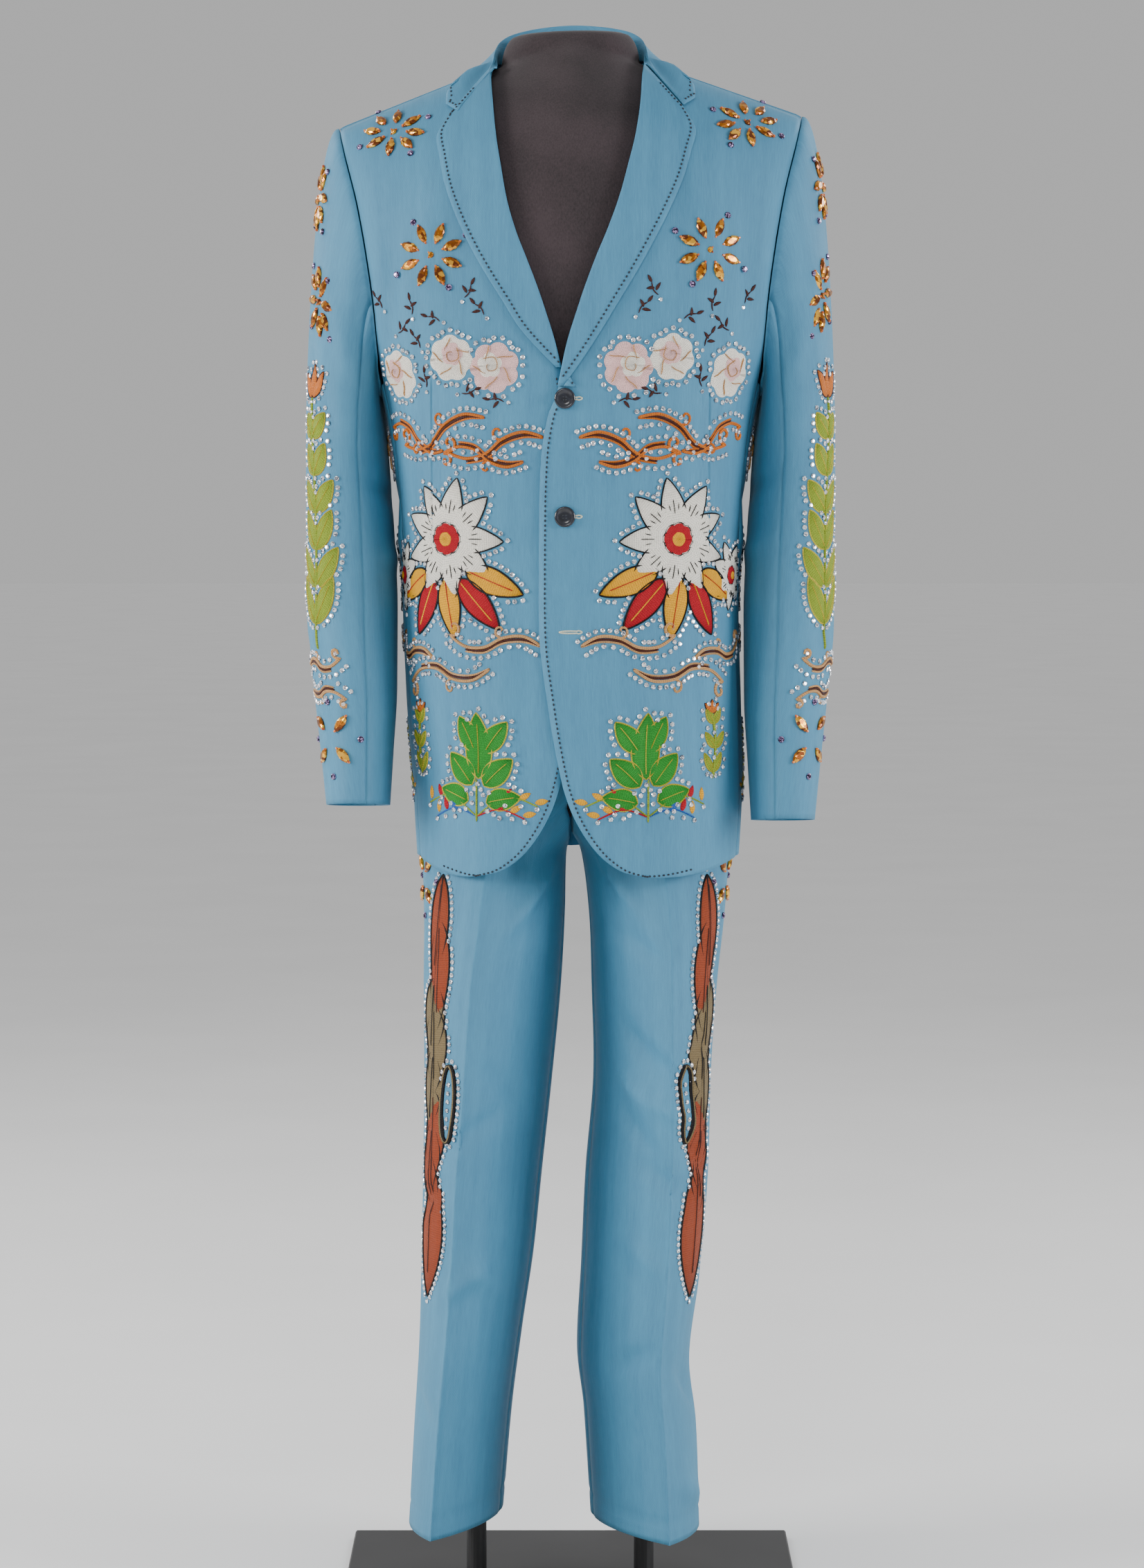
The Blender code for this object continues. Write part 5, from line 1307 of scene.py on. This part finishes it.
def plume(part, u, v, long, wide, slope):
    """A long hanging spray for a leg: rust and khaki leaves on a dark stem with one long loop."""
    def at(t, off=0.0):
        return u + slope * t + off + 0.005 * math.sin(5.0 * t), v - long * t

    down = math.radians(-90)
    for t, size, wide_by, way, colour in (
            (0.00, 0.26, 0.46, 1, "rust"), (0.10, 0.27, 0.50, -1, "rust"), (0.24, 0.20, 0.66, 1, "khaki"),
            (0.30, 0.22, 0.62, -1, "khaki"), (0.41, 0.20, 0.60, 1, "khaki"), (0.50, 0.24, 0.58, -1, "rust"),
            (0.58, 0.22, 0.60, 1, "rust")):
        leaf(part, *at(t), long * size, wide * wide_by, down + way * 0.11, colour, "black", bend=-0.06 * way,
             blunt=0.42, vein="brown" if colour == "rust" else "black", line=0.0020, stones=True)
    leaf(part, *at(0.66), long * 0.34, wide * 0.74, down, "rust", "black", blunt=0.66, vein="brown",
         line=0.0022, stones=True)
    cord(part, [at(t) for t in spread(0.0, 0.7, 8)], 0.0024, "black")
    foot_u, foot_v = at(0.44, -0.029)
    loop = [(foot_u + 0.0095 * math.sin(t), foot_v - 0.036 * (1 - math.cos(t)))
            for t in spread(0, 2 * math.pi, 15)]
    cord(part, loop, 0.0050, "black")
    cord(part, loop, 0.0024, "khaki", high=0.0034)
    worked(part).fills.append(loop[:-1])
    stones_beside(part, loop, 0.0053)
    for fall in (0.018, 0.026, 0.034, 0.042, 0.050, 0.058):
        stone_at(part, foot_u, foot_v - fall)


# What is worked on each piece: the motif and its places, sizes, colours and turns.
LAYOUT = {
    "jacket_front": [
        (rose, (0.061, 1.157, 0.0235, "pink", "white", 0.5), (0.102, 1.166, 0.0215, "white", "pink", 2.0),
         (0.164, 1.152, 0.0225, "white", "pink", 1.2)),
        (sprig, (0.070, 1.205, 50), (0.088, 1.221, 118), (0.112, 1.200, 20), (0.140, 1.207, 82),
         (0.158, 1.190, 140), (0.133, 1.176, 60), (0.132, 1.140, 96), (0.092, 1.134, 165),
         (0.176, 1.214, 55), (0.052, 1.126, 10)),
        (scrolls, (0.016, 1.094, 0.050, "orange", -10, 1), (0.070, 1.112, 0.054, "orange", -16, 1),
         (0.112, 1.082, 0.044, "orange", 18, -1), (0.034, 1.072, 0.042, "orange", 8, -1)),
        (waist_leaf, (0.112, 0.968, 0.058, -100, "yellow"), (0.098, 0.966, 0.062, -132, "red"),
         (0.124, 0.966, 0.058, -64, "red"), (0.090, 0.974, 0.060, -158, "yellow"),
         (0.134, 0.972, 0.052, -30, "yellow")),
        (blossom, (0.110, 1.002, 0.057, 9, 0.35), (0.183, 0.968, 0.033, 7, 0.1)),
        (scrolls, (0.018, 0.905, 0.048, "tan", 4, 1), (0.066, 0.884, 0.054, "tan", -6, -1),
         (0.128, 0.892, 0.040, "tan", 10, 1)),
        (spray, (0.080, 0.754, 0.098, 4)),
        (vine, (0.150, 0.782, 0.060, 0.026))],
    "jacket_side": [
        (rose, (-0.012, 1.080, 0.0200, "pink", "white", 0.9)),
        (blossom, (0.010, 0.970, 0.038, 8, 0.2)),
        (scrolls, (-0.030, 0.905, 0.040, "tan", 5.73, 1)),
        (spray, (0.012, 0.765, 0.072, -4))],
    "jacket_back": [
        (rose, (0.066, 1.157, 0.0235, "pink", "white", 0.5), (0.108, 1.166, 0.0215, "white", "pink", 2.0)),
        (sprig, (0.054, 1.203, 50), (0.080, 1.214, 118), (0.106, 1.204, 30), (0.130, 1.212, 84)),
        (scrolls, (0.024, 1.088, 0.052, "orange", -8, 1), (0.078, 1.108, 0.046, "orange", -14, -1)),
        (waist_leaf, (0.088, 0.968, 0.056, -100, "yellow"), (0.074, 0.966, 0.058, -132, "red"),
         (0.102, 0.966, 0.054, -64, "red")),
        (blossom, (0.088, 1.000, 0.055, 9, 0.2)),
        (scrolls, (0.022, 0.902, 0.048, "tan", 4, 1), (0.078, 0.886, 0.046, "tan", -8, -1)),
        (spray, (0.080, 0.757, 0.092, -4))],
    "sleeve_top": [
        (vine, (0.052, 0.900, 0.232, 0.064)),
        (scrolls, (0.018, 0.884, 0.034, "tan", 5.73, 1), (0.026, 0.862, 0.030, "tan", -5.73, -1))],
    "trouser_front": [(plume, (0.048, 0.692, 0.395, 0.070, -0.008))],
}
for _, word in SIDES:
    for piece, motifs in LAYOUT.items():
        part = f"{piece}_{word}"
        for motif, *places in motifs:
            for place in places:
                motif(part, *place)
        set_borders(part)

thread, tree, shader = new_material("thread")
flat = node(tree, "ShaderNodeUVMap", uv_map="stitch").outputs["UV"]
lines, links = (
    node(tree, "ShaderNodeTexWave", {"Vector": flat, "Scale": scale, "Distortion": bend, "Detail": 1.0,
                                     "Detail Scale": detail}, bands_direction=way).outputs["Fac"]
    for scale, bend, detail, way in ((240.0, 1.2, 2.0, "Y"), (150.0, 2.5, 3.0, "X")))
# The dye is darkened along the chain-stitch rows and links as painted shade in their grooves, and mottled at
# random; the same pattern gives the stitches' bump.
relief_and_painted_shade = mixed(tree, 0.35, mixed(tree, 0.4, lines, links), noise(tree, 300.0, 4.0, roughness=0.7))
dye = node(tree, "ShaderNodeAttribute", attribute_name="dye").outputs["Color"]
feed(tree, shader, {
    "Base Color": mixed(tree, 1.0, dye, ramp(tree, relief_and_painted_shade, (0.20, 0.50), (0.60, 1.0)), data_type="RGBA",
                        blend_type="MULTIPLY"),
    "Normal": bumped(tree, relief_and_painted_shade, 0.9, 0.0010), "Roughness": 0.58, "Specular IOR Level": 0.22})

for part, kit in work.items():
    made = make_mesh("embroidery_" + part, kit.points, kit.faces, thread)
    dyes = made.data.color_attributes.new("dye", "FLOAT_COLOR", "POINT")
    for item, colour in zip(dyes.data, kit.colours):
        item.color = (*STITCH[colour], 1.0)
    layer = made.data.uv_layers.new(name="stitch")
    for loop in made.data.loops:
        layer.data[loop.index].uv = kit.flat[loop.vertex_index]
    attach(made, "root")

# Rhinestones, amber flowers and claws
# Foil-backed cut stones set one by one through the cloth: clear chatons beside the embroidery,
# purple ones round the flowers, and pointed oval ambers held at their ends by orange claws.
STONE_LONG, STONE_WIDE, STONE_HIGH, STONE_RING = 0.0093, 0.0047, 0.0036, 0.0205
STONE_REST, CLAW_AT, CLAW_REST, PURPLE = 0.0002, 0.93, 0.0004, 0.0032
HEART, HEART_CLAWS, HEART_CLAW, STONE_SPIN = (0.34, 0.62, 0.75), 0.0032, 0.6, 2.4


def faceted(name, finish, long_half, wide_half, high, sides, point=1.0):
    """A small faceted body standing on z = 0 with its long way along x."""
    points, girdle, table = [], 0.34, 0.56
    for scale, z, shift in ((0.94, 0.0, 0.0), (1.0, girdle, 0.0), (0.84, girdle + (1 - girdle) * 0.55, 0.5),
                            (table, 1.0, 0.0)):
        for k in range(sides):
            turn = 2 * math.pi * (k + shift) / sides
            sine = math.copysign(abs(math.sin(turn)) ** point, math.sin(turn))
            points.append((long_half * scale * math.cos(turn), wide_half * scale * sine, high * z))
    faces = [tuple(reversed(range(sides))), tuple(range(3 * sides, 4 * sides))]
    for ring in range(3):
        for k in range(sides):
            a, b = ring * sides + k, ring * sides + (k + 1) % sides
            c, d = a + sides, b + sides
            faces += [(a, b, c), (b, d, c)] if ring == 1 else [(a, b, d, c)]
    made = make_mesh(name, points, faces, finish, smooth_faces=False)
    made.hide_render = made.hide_viewport = True
    return made


def stone_material(name, deep, bright, painted_glint, rough, metal, spread_by=900.0):
    """Foiled glass: each facet and stone gets at random its own tone, from the glass colour in painted shade
    through a lit tone to a painted glint.
    """
    made, tree, shader = new_material(name)
    spot = node(tree, "ShaderNodeTexCoord").outputs["Object"]
    # The ramp's stops: deep is the glass in painted shade, bright a painted lit tone, the last a painted
    # glint.
    cells = node(tree, "ShaderNodeTexVoronoi", {"Scale": spread_by, "Vector": spot})
    tone = node(tree, "ShaderNodeSeparateColor", {"Color": cells.outputs["Color"]}).outputs["Red"]
    feed(tree, shader, {
        "Base Color": ramp(tree, tone, (0.12, deep), (0.55, bright), (0.86, painted_glint)), "Metallic": metal,
        "Roughness": rough, "Coat Weight": 0.25, "Coat Roughness": 0.03})
    return made


def instancer():
    """Geometry Nodes that stand a copy of a shape on each point, turned and sized by its attributes."""
    group = bpy.data.node_groups.new("set_on_points", "GeometryNodeTree")
    for name, way, kind in (("Geometry", "INPUT", "Geometry"), ("Shape", "INPUT", "Object"),
                            ("Finish", "INPUT", "Material"), ("Geometry", "OUTPUT", "Geometry")):
        group.interface.new_socket(name, in_out=way, socket_type="NodeSocket" + kind)
    enter, leave = group.nodes.new("NodeGroupInput"), group.nodes.new("NodeGroupOutput")
    shape = node(group, "GeometryNodeObjectInfo", {"Object": enter.outputs["Shape"]})
    turn, size = (node(group, "GeometryNodeInputNamedAttribute", {"Name": name}, data_type="FLOAT_VECTOR")
                  for name in ("turn", "size"))
    copies = node(group, "GeometryNodeInstanceOnPoints", {
        "Points": enter.outputs["Geometry"], "Instance": shape.outputs["Geometry"],
        "Rotation": turn.outputs["Attribute"], "Scale": size.outputs["Attribute"]})
    real = node(group, "GeometryNodeRealizeInstances", {"Geometry": copies.outputs["Instances"]})
    done = node(group, "GeometryNodeSetMaterial", {
        "Geometry": real.outputs["Geometry"], "Material": enter.outputs["Finish"]})
    group.links.new(done.outputs["Geometry"], leave.inputs[0])
    return group


set_on_points = instancer()


def angles(axes):
    """The turn of three axes, given as columns, as angles about x, y and z."""
    y = math.asin(max(-1.0, min(1.0, -axes[2][0])))
    return math.atan2(axes[2][1], axes[2][2]), y, math.atan2(axes[1][0], axes[0][0])


def set_pieces(name, shape, finish, places):
    """Joins copies of a shape at (point, normal, way, size) places into one plain mesh."""
    made = make_mesh(name, [p for p, *_ in places], [], finish)
    turn = made.data.attributes.new("turn", "FLOAT_VECTOR", "POINT")
    size = made.data.attributes.new("size", "FLOAT_VECTOR", "POINT")
    for k, (_, normal, way, scale) in enumerate(places):
        x_way = (way - normal * way.dot(normal)).normalized()
        turn.data[k].vector = angles(np.array([x_way, normal.cross(x_way), normal]).T)
        size.data[k].vector = np.broadcast_to(scale, 3)
    nodes = made.modifiers.new("set", "NODES")
    nodes.node_group = set_on_points
    sockets = {item.name: item.identifier for item in set_on_points.interface.items_tree
               if item.in_out == "INPUT"}
    nodes[sockets["Shape"]], nodes[sockets["Finish"]] = shape, finish
    shape.hide_viewport = False
    bpy.context.view_layer.update()
    solid = bpy.data.meshes.new_from_object(made.evaluated_get(bpy.context.evaluated_depsgraph_get()))
    shape.hide_viewport = True
    made.modifiers.clear()
    made.data = solid
    solid.name = name
    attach(made, "root")


# Each set gives the glass or enamel in painted shade, a painted lit tone and a painted glint.
crystal = stone_material(
    "crystal", (0.12, 0.13, 0.17), (0.88, 0.91, 0.94), (1.0, 0.98, 1.0), rough=0.08, metal=0.58)
purple = stone_material(
    "purple_glass", (0.008, 0.001, 0.012), (0.040, 0.008, 0.056), (0.50, 0.36, 0.66), rough=0.10, metal=0.5)
amber = stone_material(
    "amber_glass", (0.14, 0.030, 0.001), (0.46, 0.145, 0.006), (0.90, 0.48, 0.05), rough=0.14, metal=0.72,
    spread_by=260.0)
claw_finish = stone_material(
    "claw_enamel", (0.36, 0.05, 0.006), (0.66, 0.13, 0.012), (0.80, 0.28, 0.05), rough=0.30, metal=0.2)
chaton = faceted("chaton", crystal, 1.0, 1.0, 0.72, 8)
marquise = faceted("marquise", amber, STONE_LONG, STONE_WIDE, STONE_HIGH, 10, 1.3)
claw = faceted("claw", claw_finish, 0.0017, 0.0012, 0.0024, 6)

UP = Vector((0, 0, 1))
chatons, ambers, claws, purples = [], [], [], []
for part, kit in work.items():
    for k, (u, v, size) in enumerate(kit.stones):
        p, n = place_out(part, u, v)
        spin = STONE_SPIN * k
        chatons.append((p + n * STONE_REST, n, Vector((math.cos(spin), 0.1, math.sin(spin))), size))


def set_flower(place_at, count, spin, purple_turns):
    """One amber flower: count stones in a ring, a small one in the middle and purple ones round it."""
    def stood(far, turn):
        point, normal = place_at(*around(0.0, 0.0, far, math.radians(turn)))
        return lean(point), normal

    for k in range(count):
        turn = spin + 360 * k / count
        place, normal = stood(STONE_RING, turn)
        way = (stood(STONE_RING * 1.1, turn)[0] - place).normalized()
        ambers.append((place, normal, way, 1.0))
        for end in (-1, 1):
            claws.append((place + way * STONE_LONG * CLAW_AT * end + normal * CLAW_REST, normal, way, 1.0))
    if count == 8:
        place, normal = stood(0.0, 0.0)
        ambers.append((place, normal, UP + Vector((0.1, 0, 0)), HEART))
        for turn in (math.radians(45 + 90 * k) for k in range(4)):
            out = Vector((math.cos(turn), 0, math.sin(turn)))
            claws.append((place + HEART_CLAWS * out, normal, UP, HEART_CLAW))
    for turn, far in purple_turns:
        place, normal = stood(far, turn)
        purples.append((place + normal * STONE_REST, normal, UP + Vector((0.3, 0, 0.1)), PURPLE))


SMALL_TURN = 0.1


def on_front(side, x, z, u, v):
    rise = on_body(x, z, side, True)[1].cross(Vector((side, 0, 0))).normalized()
    p, n = on_body(x + u, z + v * abs(rise.z), side, True)
    return p + n * front_lift(p, side), n


def on_sleeve(side, turn, z, u, v):
    turn = math.radians(turn)
    down = halved(0.0, 2.0, lambda share: sleeve(turn, share, side).z > z + v)[0]
    away = turn + u * SMALL_TURN / (sleeve(turn + SMALL_TURN, down, side) - sleeve(turn, down, side)).length
    return sleeve(away, down, side), sleeve_normal(away, down, side)


def on_leg(side, turn, z, u, v):
    turn = math.radians(turn)
    away = turn + u * SMALL_TURN / (leg(turn + SMALL_TURN, z, side) - leg(turn, z, side)).length
    return leg(away, z + v, side), leg_normal(away, z + v, side)


AROUND = [(62, 0.0345), (152, 0.036), (-28, 0.036), (-118, 0.0345)]
CROSS = [(0, 0.033), (90, 0.034), (180, 0.033), (270, 0.034)]
FLOWERS = [  # where it sits, its place on the piece, its stones, their turn, and the purple ones
    (on_front, 0.1260, 1.2610, 8, 22, AROUND), (on_front, 0.1620, 1.3780, 8, 8, AROUND),
    (on_sleeve, 12, 1.322, 8, 22, AROUND), (on_sleeve, 40, 1.222, 8, 22, AROUND),
    (on_sleeve, 55, 0.818, 4, 45, CROSS), (on_leg, 68, 0.684, 4, 45, CROSS)]
for side, _ in SIDES:
    for surface, across, z, count, spin, purple_turns in FLOWERS:
        set_flower(partial(surface, side, across, z), count, spin, purple_turns)

set_pieces("rhinestones", chaton, crystal, chatons)
set_pieces("purple_stones", chaton, purple, purples)
set_pieces("amber_stones", marquise, amber, ambers)
set_pieces("stone_claws", claw, claw_finish, claws)

# Pick stitching and buttonholes
# A dark thread picked by hand 6 mm inside every front, lapel and collar edge, and three keyhole
# buttonholes worked in pale cream silk, the lowest one empty.
stitch_finish, tree, shader = new_material("pick_thread")
feed(tree, shader, {"Roughness": 0.6, "Base Color": ramp(
    tree, noise(tree, 700.0), (0.3, (0.004, 0.006, 0.012)), (0.7, (0.008, 0.014, 0.024)))})
silk, tree, shader = new_material("buttonhole_silk")
twist = noise(tree, 1500.0)
feed(tree, shader, {
    "Base Color": ramp(tree, twist, (0.3, (0.42, 0.42, 0.30)), (0.7, (0.68, 0.68, 0.54))),
    "Normal": bumped(tree, twist, 0.6, 0.0005), "Roughness": 0.55})
PICK_IN, PICK_STEP, PICK_SUNK, PICK_BELOW, NOTCH_AT, LEAF_AT = 0.0055, 0.0044, 0.0001, 0.004, 9, 20
HEM_PICKED = 0.119
pick = faceted("pick", stitch_finish, 0.00130, 0.00095, 0.0010, 6)
picks = []


def edge_of(part, edge, first=0):
    """An edge of a piece's grid as (point, normal, way into the piece)."""
    points, normals, width = panels[part].points, panels[part].normals, panels[part].width
    last = len(points) - width
    start, stop, along_by, inward = {
        "left": (0, last + 1, width, 1), "right": (width - 1, last + width, width, -1),
        "bottom": (0, width, 1, width), "top": (last, last + width, 1, -width)}[edge]
    return [(points[k], normals[k], (points[k + inward] - points[k]).normalized())
            for k in range(start, stop, along_by)][first:]


def pick_along(part, edge):
    """Stitches beside an edge, dropped onto the piece's surface."""
    surface = BVHTree.FromPolygons(panels[part].points, panels[part].corners)
    lengths = [0.0]
    for p, q in zip(edge, edge[1:]):
        lengths.append(lengths[-1] + (q[0] - p[0]).length)
    k = 0
    for want in np.arange(PICK_STEP, lengths[-1] - PICK_STEP / 2, PICK_STEP):
        while lengths[k + 1] < want:
            k += 1
        t = (want - lengths[k]) / (lengths[k + 1] - lengths[k])
        place, outward, inward = (one.lerp(two, t) for one, two in zip(edge[k], edge[k + 1]))
        hit, normal, _, _ = surface.find_nearest(place + inward.normalized() * PICK_IN)
        normal = normal if normal.dot(outward) > 0 else -normal
        picks.append((hit - normal * PICK_SUNK, normal, edge[k + 1][0] - edge[k][0], 1.0))


for side, word in SIDES:
    part, roll_z = f"jacket_front_{word}", LAPEL_START[side] - PICK_BELOW
    pick_along(part, [place for place in edge_of(part, "left") if place[0].z < roll_z])
    pick_along(part, [place for place in edge_of(part, "bottom") if abs(place[0].x) < HEM_PICKED])
    part = f"lapel_{word}"
    pick_along(part, edge_of(part, "right"))
    pick_along(part, edge_of(part, "top", NOTCH_AT))
for edge, first in (("right", 0), ("bottom", LEAF_AT), ("top", LEAF_AT)):
    pick_along("collar", edge_of("collar", edge, first))
set_pieces("pick_stitches", pick, stitch_finish, picks)

EYELETS, EYELET_X, EYELET_HALF, EYELET_GAP = (1.1290, 1.0226, 0.9180), 0.0085, 0.010, 0.0011
EYELET_HEAD, SILK_WIDE, SILK_HIGH = 0.0009, 0.0011, 0.0010
SILK_SHAPE = ((0.6, 0.0), (0.3, 0.8), (-0.3, 0.8), (-0.6, 0.0))
points, faces = [], []
for z in EYELETS:
    path = []
    for t in spread(0, 2 * math.pi, 33):
        cosine, sine = math.cos(t), math.sin(t)
        path.append((EYELET_X + EYELET_HALF * cosine * (1.0 if cosine < 0 else 1.05),
                     z + sine * (EYELET_GAP + (EYELET_HEAD if cosine > 0.7 else 0))))
    faces += grid_faces(len(SILK_SHAPE), len(path) - 1, True, len(points))
    for s, h in SILK_SHAPE:
        for k, (u, v) in enumerate(path[:-1]):
            p, n = place_out("jacket_front_left", u, v)
            ahead, back = path[k + 1], path[k - 1]
            way = Vector((ahead[1] - back[1], 0, back[0] - ahead[0])).normalized()
            points.append(p + way * SILK_WIDE * s + n * SILK_HIGH * h)
holes = make_mesh("buttonholes", points, faces, silk)
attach(holes, "root")

# Buttons
# Two polished four-hole buttons with a raised rim, turned from dark navy plastic with a faint
# swirl and sewn through the right front with navy thread.
button_finish, tree, shader = new_material("button_navy")
swirl = noise(tree, 120.0, 4.0, distortion=1.5)
feed(tree, shader, {
    "Base Color": ramp(tree, swirl, (0.35, (0.003, 0.004, 0.008)), (0.75, (0.013, 0.016, 0.028))),
    "Roughness": 0.22, "Coat Weight": 0.4})
BUTTON_PROFILE = [(0.00005, 0.0019), (0.0040, 0.0019), (0.0060, 0.0021), (0.0070, 0.0029), (0.0082, 0.0032),
                  (0.0092, 0.0027), (0.0095, 0.0016), (0.0090, 0.0004), (0.0078, 0.0000), (0.00005, 0.0)]
THREAD_PROFILE = [(0.0008, 0.00192), (0.0006, 0.0022), (0.00001, 0.00225)]
HOLE_OUT = 0.0013


def turned_rings(centre, profile, sides):
    """Rings of points round an axis to the front, from (radius, height) pairs, and their faces."""
    points = [centre + Vector((*around(0.0, 0.0, r, 2 * math.pi * k / sides), -h)).xzy
              for r, h in profile for k in range(sides)]
    return points, grid_faces(len(profile), sides, closed=True)


for name in ("button_upper", "button_lower"):
    low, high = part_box(name)
    centre = Vector(((low[0] + high[0]) / 2, high[1], (low[2] + high[2]) / 2))
    made = make_mesh(name + "_turned", *turned_rings(centre, BUTTON_PROFILE, 40), button_finish)
    points, faces = [], []
    for x, z in ((-HOLE_OUT, -HOLE_OUT), (HOLE_OUT, -HOLE_OUT), (-HOLE_OUT, HOLE_OUT), (HOLE_OUT, HOLE_OUT)):
        ring_points, ring_faces = turned_rings(centre + Vector((x, 0, z)), THREAD_PROFILE, 10)
        faces += [tuple(k + len(points) for k in face) for face in ring_faces]
        points += ring_points
    make_mesh(name + "_thread", points, faces, stitch_finish).parent = made
    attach(made, "root")
    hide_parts(name)
